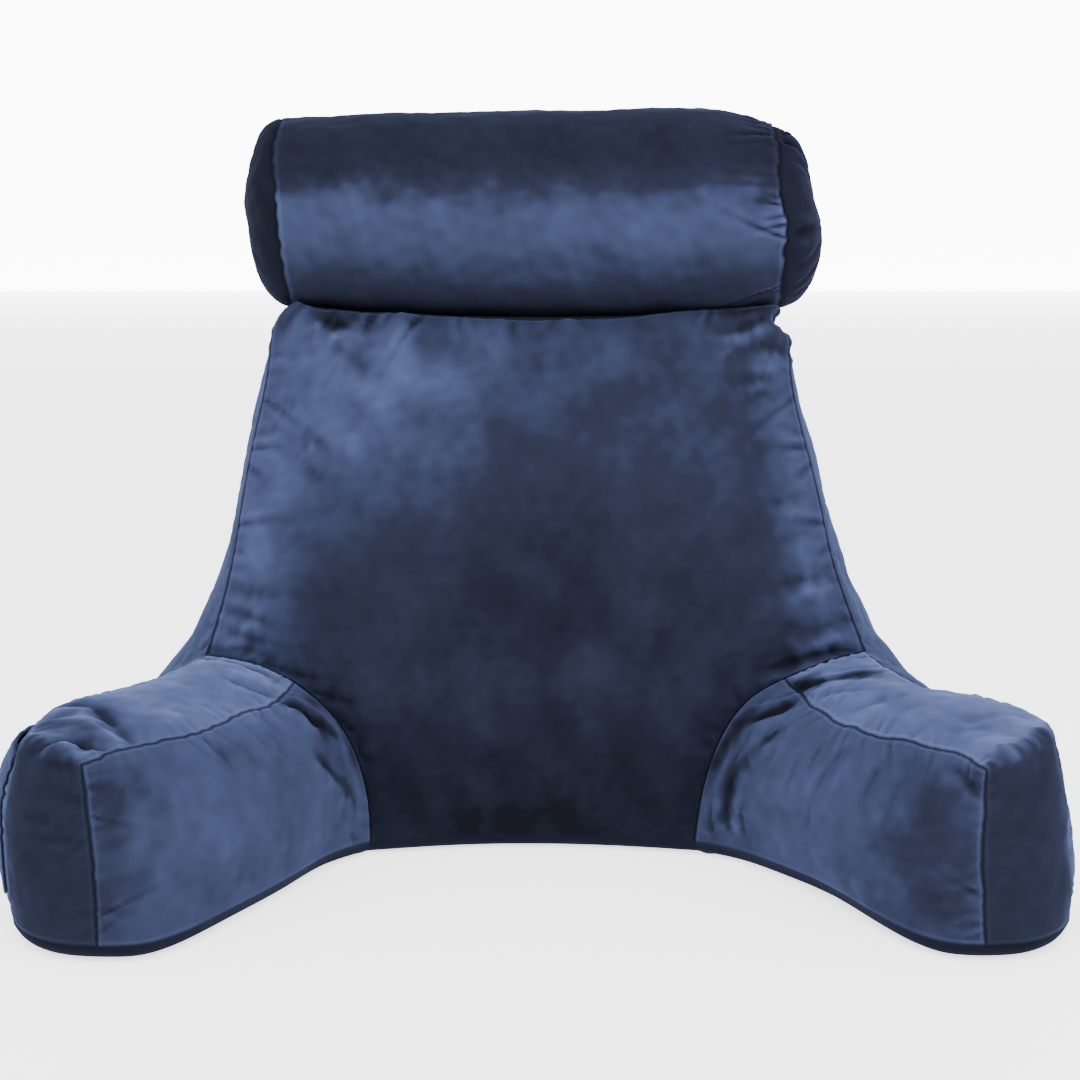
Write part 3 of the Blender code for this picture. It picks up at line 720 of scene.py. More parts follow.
@dataclass
class Shell:
    """Panels sewn edge to edge into one surface, at every step-th row and column."""

    patches: list[Patch]
    step: int = 1
    index: np.ndarray = field(init=False)
    counts: np.ndarray = field(init=False)

    def __post_init__(self) -> None:
        """Give every point of the pattern one number, shared by the panels that meet there."""
        places = np.round(self.flat([p.grid for p in self.patches]) / WELD).astype(np.int64)
        self.index = np.unique(places, axis=0, return_inverse=True)[1].reshape(-1)
        self.counts = np.bincount(self.index)

    def flat(self, grids: list[Grid]) -> np.ndarray:
        """The grids' rows end to end, at this shell's step."""
        kept = [grid[:: self.step, :: self.step] for grid in grids]
        return np.concatenate([grid.reshape(-1, *grid.shape[2:]) for grid in kept])

    def mean(self, grids: list[Grid]) -> np.ndarray:
        """One value for each shared point: the mean of what its panels say.

        Args:
            grids: one grid for each panel.

        Returns:
            The values in the order of the points' numbers.
        """
        flat = self.flat(grids)
        columns = flat.reshape(len(flat), -1).T
        sums = [np.bincount(self.index, weights=column) / self.counts for column in columns]
        return np.stack(sums, axis=-1).reshape(-1, *flat.shape[1:])

    def spread(self, values: np.ndarray) -> list[Grid]:
        """Values for each shared point back on the panels' grids.

        Args:
            values: one for each shared point.

        Returns:
            One grid for each panel.
        """
        out, start = [], 0
        for patch in self.patches:
            rows, columns = patch.clear[:: self.step, :: self.step].shape
            part = self.index[start : start + rows * columns]
            out.append(values[part].reshape(rows, columns, *values.shape[1:]))
            start += rows * columns
        return out

    def faces(self) -> list[list[int]]:
        """The quads of every panel, turned outwards, with triangles where two corners are one.

        Returns:
            The numbers of each face's points.
        """
        quads = []
        for patch, index in zip(self.patches, self.spread(np.arange(len(self.counts)))):
            ring = [index[:-1, :-1], index[:-1, 1:], index[1:, 1:], index[1:, :-1]]
            ring = np.stack(ring, axis=-1).reshape(-1, 4)
            n = np.cross(np.gradient(patch.grid, axis=1), np.gradient(patch.grid, axis=0))
            outwards = np.sum(n * (patch.grid - patch.inside)) > 0
            quads.append(ring if outwards else ring[:, ::-1])
        quads = np.concatenate(quads)
        same = quads == np.roll(quads, -1, axis=1)
        whole, cut = quads[~same.any(axis=1)], quads[same.sum(axis=1) == 1]
        keep = ~same[same.sum(axis=1) == 1]
        return whole.tolist() + cut[keep].reshape(-1, 3).tolist()

    def mesh(self, name: str, shift: np.ndarray) -> bpy.types.Object:
        """The sewn surface as an object at the origin, with its tone as an attribute: the pile's
        own tone with painted light and shade.

        Args:
            name: the object's name.
            shift: what is added to every point.

        Returns:
            The object.
        """
        mesh = bpy.data.meshes.new(name)
        points = self.mean([patch.points for patch in self.patches]) + shift
        mesh.from_pydata(points.tolist(), [], self.faces())
        nap = mesh.attributes.new("nap", "FLOAT", "POINT")
        nap.data.foreach_set("value", self.mean([patch.nap for patch in self.patches]))
        mesh.shade_smooth()
        mesh.update()
        return placed(name, mesh)


@dataclass(frozen=True)
class Blow:
    """How the stuffed panels are blown out by cloth simulation, with their seams held."""

    pressure: float = 4.0
    growth: float = 0.07  # the share of spare cloth beside the seams
    growth_reach: float = 0.030  # how far in it fades
    held_within: float = 0.0005  # how close to a seam a point is held
    frames: int = 16
    step: int = 3  # one row and column in three takes part
    cap: float = 0.009  # the furthest that a point moves

    def run(self, patches: list[Patch]) -> None:
        """Simulate some of the panels' rows and columns, and move every point as they moved.

        A point's move is eased by a hyperbolic tangent, and read between the rows by cubics.

        Args:
            patches: the stuffed panels.
        """
        shell = Shell(patches, step=self.step)
        start = shell.mean([patch.points for patch in patches])
        made = shell.mesh("blown_cloth", np.zeros(3))
        clear = shell.mean([patch.clear for patch in patches])
        held, spare = made.vertex_groups.new(name="held"), made.vertex_groups.new(name="spare")
        held.add(np.flatnonzero(clear < self.held_within).tolist(), 1.0, "REPLACE")
        weights = np.round(np.exp(-clear / self.growth_reach), 1)
        for weight in np.unique(weights):
            spare.add(np.flatnonzero(weights == weight).tolist(), float(weight), "REPLACE")
        cloth = made.modifiers.new("Cloth", "CLOTH")
        setting = cloth.settings
        setting.quality = 5
        setting.mass = 0.15
        setting.tension_stiffness = setting.compression_stiffness = 15
        setting.shear_stiffness, setting.bending_stiffness = 5, 0.1
        setting.use_pressure, setting.uniform_pressure_force = True, self.pressure
        setting.effector_weights.gravity = 0
        setting.vertex_group_mass, setting.vertex_group_shrink = held.name, spare.name
        setting.shrink_min, setting.shrink_max = 0.0, -self.growth
        for frame_number in range(1, self.frames + 1):
            bpy.context.scene.frame_set(frame_number)
        result = made.evaluated_get(bpy.context.evaluated_depsgraph_get()).to_mesh()
        end = np.empty(3 * len(result.vertices))
        result.vertices.foreach_get("co", end)
        moved = end.reshape(-1, 3) - start
        size = np.linalg.norm(moved, axis=1, keepdims=True)
        LOG.info("cloth moved %.1f mm at most", 1000 * size.max())
        moved *= self.cap * np.tanh(size / self.cap) / np.maximum(size, 1e-9)
        bpy.data.meshes.remove(made.data)
        bpy.context.scene.frame_set(1)
        for patch, part in zip(patches, shell.spread(moved)):
            rows, columns = (np.arange(n) / self.step for n in patch.clear.shape)
            fine = cubic_rows(cubic_rows(part, rows).swapaxes(0, 1), columns).swapaxes(0, 1)
            patch.points += fine


# ---- finishes --------------------------------------------------------------------------------


@dataclass(frozen=True)
class Velvet:
    """Crushed cotton velvet: its colour follows an attribute that holds the pile's own tone with
    painted light and shade, and its edges are painted lighter, a painted sheen.
    """

    name: str = "velvet"
    # the colour for each tone from 0 to 1, where the tone is the pile's own with painted light and
    # shade
    tones: tuple[tuple[float, Point], ...] = (
        (0.00, (0.0046, 0.0050, 0.0082)),
        (0.25, (0.0078, 0.0090, 0.0168)),
        (0.42, (0.0128, 0.0149, 0.0290)),
        (0.52, (0.0195, 0.0243, 0.0525)),
        (0.75, (0.0390, 0.0503, 0.1095)),
        (1.00, (0.0870, 0.1133, 0.2370)),
    )
    roughness: float = 0.72
    sheen: float = 0.03
    sheen_roughness: float = 0.35
    rim: float = 0.34  # painted sheen: how much lighter the colour is painted where the cloth is seen from along it
    rim_power: float = 2.6
    sheen_tint: Point = (0.62, 0.70, 0.95)
    # two noises in the tone: scale, detail and share
    mottle: tuple[tuple[float, float, float], ...] = ((8.0, 2.0, 0.05), (42.0, 5.0, 0.065))
    pile_scale: float = 1100.0
    pile_depth: float = 0.0004
    crush_scale: float = 75.0
    crush_depth: float = 0.0011

    def material(self) -> bpy.types.Material:
        """The node material, which reads the tone attribute and Object coordinates, and paints the
        colour lighter where the cloth is seen edge-on: a painted sheen.

        Returns:
            The material.
        """
        made = bpy.data.materials.new(self.name)
        made.use_nodes = True
        tree = made.node_tree
        shader = tree.nodes["Principled BSDF"]
        shader.inputs["Roughness"].default_value = self.roughness
        shader.inputs["Specular IOR Level"].default_value = 0.0
        shader.inputs["Sheen Weight"].default_value = self.sheen
        shader.inputs["Sheen Roughness"].default_value = self.sheen_roughness
        shader.inputs["Sheen Tint"].default_value = (*self.sheen_tint, 1.0)
        place = tree.nodes.new("ShaderNodeTexCoord").outputs["Object"]
        nap = tree.nodes.new("ShaderNodeAttribute")
        nap.attribute_name = "nap"
        # Painted sheen: the tone rises where the cloth is seen from along it, by the Layer Weight's
        # Facing.
        edge = tree.nodes.new("ShaderNodeLayerWeight")
        edge.inputs["Blend"].default_value = 0.5
        steep = self.math(tree, "POWER", edge.outputs["Facing"], self.rim_power)
        total = self.math(tree, "MULTIPLY_ADD", steep, self.rim, nap.outputs["Fac"])
        for scale, detail, share in self.mottle:
            noise = self.noise(tree, place, scale, detail)
            total = self.math(tree, "MULTIPLY_ADD", noise, 2 * share, total)
            total = self.math(tree, "SUBTRACT", total, share)
        ramp = tree.nodes.new("ShaderNodeValToRGB")
        ramp.color_ramp.interpolation = "LINEAR"
        stops = ramp.color_ramp.elements
        while len(stops) < len(self.tones):
            stops.new(0.5)
        for stop, (at, colour) in zip(stops, self.tones):
            stop.position, stop.color = at, (*colour, 1.0)
        tree.links.new(total, ramp.inputs["Fac"])
        tree.links.new(ramp.outputs["Color"], shader.inputs["Base Color"])
        crush = self.bump(tree, self.noise(tree, place, self.crush_scale, 3.0), self.crush_depth)
        pile = self.bump(tree, self.noise(tree, place, self.pile_scale, 1.0), self.pile_depth)
        tree.links.new(crush.outputs["Normal"], pile.inputs["Normal"])
        tree.links.new(pile.outputs["Normal"], shader.inputs["Normal"])
        return made

    @staticmethod
    def noise(tree: Tree, place: Socket, scale: float, detail: float) -> Socket:
        """A noise of the place in space, as its value's socket.

        Args:
            tree: the material's nodes.
            place: the place in space.
            scale: how fine the noise is.
            detail: how many finer noises are added.

        Returns:
            The noise, from 0 to 1.
        """
        node = tree.nodes.new("ShaderNodeTexNoise")
        node.inputs["Scale"].default_value = scale
        node.inputs["Detail"].default_value = detail
        tree.links.new(place, node.inputs["Vector"])
        return node.outputs["Fac"]

    @staticmethod
    def math(tree: Tree, operation: str, *values: Socket | float) -> Socket:
        """What a math node makes of sockets and numbers.

        Args:
            tree: the material's nodes.
            operation: the node's operation.
            *values: what it works on, in order.

        Returns:
            The result.
        """
        node = tree.nodes.new("ShaderNodeMath")
        node.operation = operation
        for slot, value in zip(node.inputs, values):
            if isinstance(value, float):
                slot.default_value = value
            else:
                tree.links.new(value, slot)
        return node.outputs[0]

    @staticmethod
    def bump(tree: Tree, height: Socket, depth: float) -> bpy.types.Node:
        """A bump node of a height socket.

        Args:
            tree: the material's nodes.
            height: the height, from 0 to 1.
            depth: how far a height of 1 stands out.

        Returns:
            The node.
        """
        node = tree.nodes.new("ShaderNodeBump")
        node.inputs["Distance"].default_value = depth
        node.inputs["Strength"].default_value = 1.0
        tree.links.new(height, node.inputs["Height"])
        return node


# ---- cover -----------------------------------------------------------------------------------

WELD = 1e-6  # points of the pattern this close are one point
SHADING_PER_METRE = 60.0  # painted highlight and shade: how much lighter a ridge is painted than a trough, for each metre of height
PUCKER_START = 0.0025  # how far from its seam a pucker starts
GATHER_CLEAR = 0.012  # how far puckers keep from the panel's other seams, in metres
FOLD_CLEAR = 0.003  # how far folds keep from every seam
FLOOR_SEAM_SHOWS = 0.07  # how far from an arm's front its floor seam shows
HEART = np.array([0.0, 0.05, 0.20])  # the middle of the stuffing


@dataclass
class Cover:
    """The cushion's sewn cover: the backrest's front and back, its wings, and both arms.

    The panels are laid between seam lines. The stuffing crowns them, they pucker at their seams,
    and the folds, the pile's tone and the painted light and shade follow from tables.
    """

    shift: np.ndarray  # from the pattern's frame to the model's
    high: int = 72  # quads up an arm
    wide: int = 45  # across an arm
    long: int = 144  # along an arm
    rise: int = 120  # up the backrest, over the arms
    deep: int = 60  # through the backrest
    broad: int = 180  # across the backrest
    bottom_round: float = 0.016  # the radius of the edge along the floor
    top_z: float = 0.4200  # how high the backrest's top is in the middle, under the roll
    top_rise: float = 0.160  # how much it rises with the square of x
    top_round: float = 0.014  # how far in from its rim it is pressed down
    root_bulge: float = 0.012  # how far an arm stands out where it meets the backrest
    blow: Blow = field(default_factory=Blow)
    patches: dict[str, Patch] = field(default_factory=dict)

    def counts(self) -> dict[str, int]:
        """How many quads lie along each seam.

        Returns:
            A count for each seam's name.
        """
        return {
            "front_bottom": self.wide, "inner_bottom": self.long, "inner_front": self.high,
            "outer_front": self.high, "inner_top": self.long, "outer_top": self.long,
            "curve_low": self.high, "curve_high": self.wide, "side": self.rise,
            "outer_bottom": self.long, "wing_bottom": self.deep, "back_edge": self.high + self.rise,
        }

    def seam_lines(self, side: Side) -> dict[str, Line]:
        """Every seam of one side, and the lines where arm and backrest part.

        Args:
            side: which side.

        Returns:
            The lines by name, in the pattern's frame.
        """
        counts, rows = self.counts(), SEAMS[side.word]
        lines = {name: smooth_line(rows[name], crowded(counts[name])) for name in rows}
        foot, top = lines["outer_bottom"][-1], lines["outer_top"][-1]
        middle = (foot + top) / 2 + (self.root_bulge, 0, 0)
        lines["root"] = smooth_line([foot, middle, top], crowded(self.high))
        deep = crowded(self.deep)
        front, back = lines["side"][-1], lines["back_edge"][-1]
        dip = (front + back) / 2
        dip[1:] = ROLL_Y, self.pressed_top(dip[0])
        lines["shoulder"] = smooth_line([front, dip, back], deep)
        lines["across"] = smooth_line([lines["inner_bottom"][-1], lines["wing_bottom"][-1]], deep)
        floor = smooth_line([lines["inner_bottom"][-1], foot], crowded(self.wide))
        rims = [lines[name] for name in ("inner_bottom", "outer_bottom", "wing_bottom")]
        lines["floor"] = self.laid_flat(floor[None], rims)[0]
        return {name: line * (side.value, 1, 1) for name, line in lines.items()}

    def laid_flat(self, grid: Grid, seams: list[Line]) -> Grid:
        """A bottom panel on the floor, a quarter circle up to its seams at its rim.

        Args:
            grid: the panel's points.
            seams: the seams around it.

        Returns:
            The laid points.
        """
        level = np.array((1, 1, 0))
        near = np.min([nearest(grid * level, seam * level)[0] for seam in seams], axis=0)
        t = np.clip(1 - near / self.bottom_round, 0, 1)
        out = grid.copy()
        out[..., 2] = SEAM_Z * (1 - np.sqrt(1 - t**2))
        return out

    def corner(self, grid: Grid, row: int, reach: int = 4, passes: int = 3) -> Grid:
        """The grid with the bend along a row eased, most in the middle of the row.

        Args:
            grid: the panel's points, which are moved.
            row: where the bend is.
            reach: how many rows beside it are eased.
            passes: how often.

        Returns:
            The same grid.
        """
        rows = np.arange(len(grid))[:, None, None]
        share = np.sin(np.pi * np.linspace(0, 1, grid.shape[1]))[None, :, None] ** 0.5
        share = 0.5 * share * bell(rows - row, reach)
        for _ in range(passes):
            grid[1:-1] += share[1:-1] * ((grid[:-2] + grid[2:]) / 2 - grid[1:-1])
        return grid

    def arm(self, side: Side, s: dict[str, Line]) -> None:
        """Lay out one arm's panels: inner, top with front, and bottom.

        Args:
            side: which side.
            s: that side's seam lines by name.
        """
        inside = s["floor"].mean(axis=0) + (0, -0.08, 0.07)
        word = side.word
        names = ("inner_bottom", "inner_top", "inner_front", "curve_low")
        inner = coons(*(s[name] for name in names))
        self.add(f"arm_inner_{word}", inner, {name: s[name] for name in names}, inside)

        inner_edge = joined(s["inner_top"][::-1], s["inner_front"][::-1])
        outer_edge = joined(s["outer_top"][::-1], s["outer_front"][::-1])
        strip = coons(s["curve_high"], s["front_bottom"], inner_edge, outer_edge)
        strip = self.corner(strip, self.long)
        names = ("inner_top", "inner_front", "outer_top", "outer_front")
        names = ("curve_high", "front_bottom", *names)
        self.add(f"arm_top_{word}", strip, {name: s[name] for name in names}, inside)

        under = coons(s["front_bottom"], s["floor"], s["inner_bottom"], s["outer_bottom"])
        rims = [s[name] for name in ("front_bottom", "inner_bottom", "outer_bottom")]
        under = self.laid_flat(under, rims)
        under[-1] = s["floor"]
        self.add(f"under_{word}", under, {}, inside, stuffed=False)

    def outer_side(self, side: Side, s: dict[str, Line]) -> None:
        """Lay out the arm's outer panel and the backrest's wing, which are one cloth.

        Args:
            side: which side.
            s: that side's seam lines by name.
        """
        names = ("outer_bottom", "outer_top", "outer_front", "wing_bottom", "side", "back_edge")
        seams = {name: s[name] for name in names}
        inside = s["floor"].mean(axis=0) + (0, 0, 0.08)
        arm = coons(s["outer_bottom"], s["outer_top"], s["outer_front"], s["root"])
        wing = coons(s["wing_bottom"], s["shoulder"], joined(s["root"], s["side"]), s["back_edge"])
        self.add(f"outer_{side.word}", arm, seams, inside)
        self.add(f"wing_{side.word}", wing, seams | {"shoulder": s["shoulder"]}, inside)

    def pressed_top(self, x: Grid) -> Grid:
        """How high the backrest's top is at x: it rises with the square of x, off the middle."""
        return self.top_z + self.top_rise * x**2

    def backrest(self, left: dict[str, Line], right: dict[str, Line]) -> None:
        """Lay out the backrest's front, back, top and bottom.

        Args:
            left: the left side's seam lines by name.
            right: the right side's.
        """
        broad = crowded(self.broad)
        rises = [joined(s["curve_low"], s["curve_high"], s["side"]) for s in (left, right)]
        edges = [s["back_edge"] for s in (left, right)]
        ends = {
            "front_low": (rises[0][0], FRONT_BOTTOM_MIDDLE, rises[1][0]),
            "front_top": (rises[0][-1], FRONT_TOP_MIDDLE, rises[1][-1]),
            "back_low": (edges[0][0], BACK_BOTTOM_MIDDLE, edges[1][0]),
            "back_top": (edges[0][-1], BACK_TOP_MIDDLE, edges[1][-1]),
        }
        lines = {name: smooth_line([a, *rows, b], broad) for name, (a, rows, b) in ends.items()}
        seams = {name: lines[name] for name in ("front_low", "front_top")}
        for s, word in ((left, "left"), (right, "right")):
            seams |= {f"{name}_{word}": s[name] for name in ("curve_low", "curve_high", "side")}
        front = relaxed(lines["front_low"], lines["front_top"], *rises)
        self.add("front", front, seams, HEART)
        seams = {"back_low": lines["back_low"], "back_top": lines["back_top"]}
        seams |= {"back_edge_left": edges[0], "back_edge_right": edges[1]}
        self.add("back", coons(lines["back_low"], lines["back_top"], *edges), seams, HEART)

        rim = [lines["front_top"], lines["back_top"], left["shoulder"], right["shoulder"]]
        top = coons(*rim)
        near = np.min([nearest(top, seam)[0] for seam in rim], axis=0)
        press = np.sin(np.pi / 2 * np.clip(near / self.top_round, 0, 1))
        top[..., 2] += (self.pressed_top(top[..., 0]) - top[..., 2]) * press
        top[0], top[-1], top[:, 0], top[:, -1] = rim
        self.add("top", top, {}, HEART, stuffed=False)

        rims = [lines["front_low"], lines["back_low"], left["wing_bottom"], right["wing_bottom"]]
        middle = coons(lines["front_low"], lines["back_low"], left["across"], right["across"])
        middle = self.laid_flat(middle, rims)
        self.add("under_middle", middle, {}, HEART, stuffed=False)
        for s, side, column in ((left, Side.LEFT, 0), (right, Side.RIGHT, -1)):
            corner = np.repeat(s["wing_bottom"][-1:], self.wide + 1, axis=0)
            under = coons(s["floor"], corner, s["across"], s["wing_bottom"])
            under = self.laid_flat(under, rims)
            under[0], under[-1] = s["floor"], corner
            under[:, 0], under[:, -1] = middle[:, column], s["wing_bottom"]
            under[0, 0] = s["floor"][0]
            self.add(f"under_wing_{side.word}", under, {}, HEART, stuffed=False)

    def add(
        self, name: str, grid: Grid, seams: dict[str, Line], inside: Point, stuffed: bool = True
    ) -> None:
        """Keep one panel under its name."""
        self.patches[name] = Patch(name, grid, seams, np.array(inside, float), stuffed)

    def wander(self, patch: Patch) -> None:
        """Let the seams wander as a hand-guided needle does.

        Each seam moves by smooth noise along a line across it, and the cloth beside it follows
        by an exponential of the distance.

        Args:
            patch: the panel, which is changed.
        """
        for name, line in patch.seams.items():
            kind = sideless(name)
            if kind not in SEAM_WAVES:
                continue
            amount, length = SEAM_WAVES[kind]
            seed = 10 * sorted(SEAM_WAVES).index(kind) + (line.mean(axis=0)[0] > 0)
            gap, along = patch.near[name]
            whole = np.linalg.norm(np.diff(line, axis=0), axis=1).sum()
            ease = np.clip(np.minimum(along, whole - along) / WANDER_EASE, 0, 1)
            across = np.cross(line[-1] - line[0], line[len(line) // 2] - HEART)
            across /= np.linalg.norm(across)
            swing = waves(along, length, seed) + 0.4 * waves(along, length / 3.5, seed + 5)
            move = amount * ease * swing * np.exp(-gap / WANDER_REACH)
            patch.points += move[..., None] * across

    def brow(self) -> None:
        """Swell the top of the front panel up against the roll, most a little below its seam."""
        front = self.patches["front"]
        reach = front.near["front_top"][0] / BROW_REACH
        swollen = reach * np.exp(1 - reach) * np.clip(front.clear / 0.004, 0, 1)
        swollen *= np.clip(0.75 + 0.45 * waves(front.near["front_top"][1], 0.05, 71), 0.1, 1.5)
        front.points += swollen[..., None] * BROW

    def stuff(self) -> None:
        """Crown, pucker and blow out every stuffed panel."""
        stuffed = [patch for patch in self.patches.values() if patch.stuffed]
        for number, patch in enumerate(stuffed):
            kind = sideless(patch.name)
            self.wander(patch)
            patch.crown(*CROWNS[kind])
            patch.lip(LIP_HEIGHT, LIP_REACH)
            for row, (seam, spacing, reach, height) in enumerate(GATHERS.get(kind, ())):
                for name in patch.seams:
                    if sideless(name) == seam:
                        patch.gather(name, spacing, reach, height, 100 * number + 10 * row)
        self.brow()
        self.blow.run(stuffed)

    def crease(self) -> None:
        """Add the folds that stay in the cloth, a soft unevenness, and the tones: the pile's own
        with painted light and shade, and painted shade on the bottom panels, darkest at the arms'
        fronts.
        """
        feet = [self.patches[f"arm_top_{side.word}"].grid[-1] for side in Side]
        for patch in self.patches.values():
            if patch.stuffed:
                self.fold_and_comb(patch)
            # The bottom panels are painted dark: painted shade, darkest near each arm's front.
            elif patch.name == "under_middle":
                patch.nap += UNDER_MIDDLE_SHADE
            else:
                to_foot = np.min([nearest(patch.grid, foot)[0] for foot in feet], axis=0)
                patch.nap += UNDER_SHADE - FOOT_SHADE * bell(to_foot, FOOT_REACH)

    def fold_and_comb(self, patch: Patch) -> None:
        """One stuffed panel's folds, streaks, unevenness, seam lines and zones, from the tables,
        with their painted light and shade.

        Args:
            patch: the panel, which is changed.
        """
        for work, table in ((patch.fold, FOLDS), (patch.streak, STREAKS)):
            for width, value, *path in table.get(patch.name, ()):
                value *= 0.001 if table is FOLDS else 1
                work(0.001 * width, value, tuple((u / 1000, v / 1000) for u, v in path))
        patch.roughen(UNEVEN, np.clip(patch.clear / UNEVEN_CLEAR, 0, 1))
        patch.draw_seams()
        kind = sideless(patch.name)
        # The panel's tone: the pile's own, with painted light, the arms' tops lighter than their
        # sides.
        patch.nap += PANEL_NAP_AND_SHADING[kind]
        # The front face of an arm is painted darker than its top: painted shade.
        if kind == "arm_top":
            patch.comb(self.long / (self.long + self.high) - FACE_OVER, FACE_SHADE)
        for zone in PILE_AND_SHADE_ZONES.get(patch.name, ()):
            patch.lie(*zone)

    def build(self) -> bpy.types.Object:
        """Sew the cover together and return it.

        Returns:
            The cover's object.
        """
        left, right = (self.seam_lines(side) for side in Side)
        for side, lines in zip(Side, (left, right)):
            self.outer_side(side, lines)
            self.arm(side, lines)
        self.backrest(left, right)
        self.stuff()
        self.crease()
        return Shell(list(self.patches.values())).mesh(Piece.COVER.value, self.shift)

    def dress(self, made: bpy.types.Object, velvet: bpy.types.Material) -> None:
        """Give the cover its velvet and its place in the model.

        Args:
            made: the cover's object.
            velvet: the material.
        """
        made.data.materials.append(velvet)
        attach(made, "root")
        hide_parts("backrest", "arm_left", "arm_right")


# How far each seam wanders, and over what length.
SEAM_WAVES = {
    "inner_top": (0.0009, 0.050),
    "outer_top": (0.0009, 0.060),
    "curve_low": (0.0010, 0.040),
    "curve_high": (0.0012, 0.040),
    "side": (0.0014, 0.050),
    "inner_front": (0.0010, 0.035),
    "outer_front": (0.0010, 0.035),
    "front_top": (0.0015, 0.040),
    "back_edge": (0.0010, 0.060),
}
WANDER_EASE = 0.02  # how far from its ends a seam reaches its full wander
WANDER_REACH = 0.012  # how far the cloth beside it follows

# How far the stuffing pushes each panel out, and how far in from a seam it takes to get there.
CROWNS = {
    "front": (0.030, 0.110),
    "back": (0.026, 0.110),
    "arm_inner": (0.013, 0.050),
    "arm_top": (0.007, 0.030),
    "outer": (0.013, 0.040),
    "wing": (0.012, 0.060),
}
BROW, BROW_REACH = np.array([0.0, -0.008, 0.005]), 0.014
LIP_HEIGHT, LIP_REACH = 0.0011, 0.0028
SEAM_SHADE, SEAM_HIGHLIGHT, SEAM_LINE = 0.36, 0.09, 0.0009  # painted shade on a seam's own line, the painted highlight beside it, and the line's width
HAIRLINE, HAIRLINE_WIDE = 2.8, 1.1  # where the pale hairline of painted highlight lies and how wide, in dark lines
FLOOR_SEAMS = ("inner_bottom", "front_low")

# Puckers: seam, spacing, reach and height.
GATHERS = {
    "front": (
        ("side", 0.018, 0.022, 0.0018),
        ("curve_low", 0.014, 0.014, 0.0010),
        ("curve_high", 0.011, 0.014, 0.0012),
        ("front_top", 0.020, 0.018, 0.0018),
    ),
    "back": (("back_edge", 0.022, 0.018, 0.0014), ("back_top", 0.018, 0.014, 0.0016)),
    "arm_inner": (
        ("inner_top", 0.012, 0.014, 0.0010),
        ("curve_low", 0.016, 0.014, 0.0006),
        ("inner_front", 0.011, 0.016, 0.0012),
    ),
    "arm_top": (
        ("inner_top", 0.012, 0.012, 0.0010),
        ("outer_top", 0.015, 0.013, 0.0008),
        ("curve_high", 0.010, 0.014, 0.0014),
        ("inner_front", 0.011, 0.011, 0.0009),
        ("outer_front", 0.012, 0.011, 0.0009),
    ),
    "outer": (("outer_top", 0.016, 0.014, 0.0008), ("outer_front", 0.012, 0.013, 0.0010)),
    "wing": (("side", 0.016, 0.016, 0.0014), ("back_edge", 0.020, 0.016, 0.0012)),
}

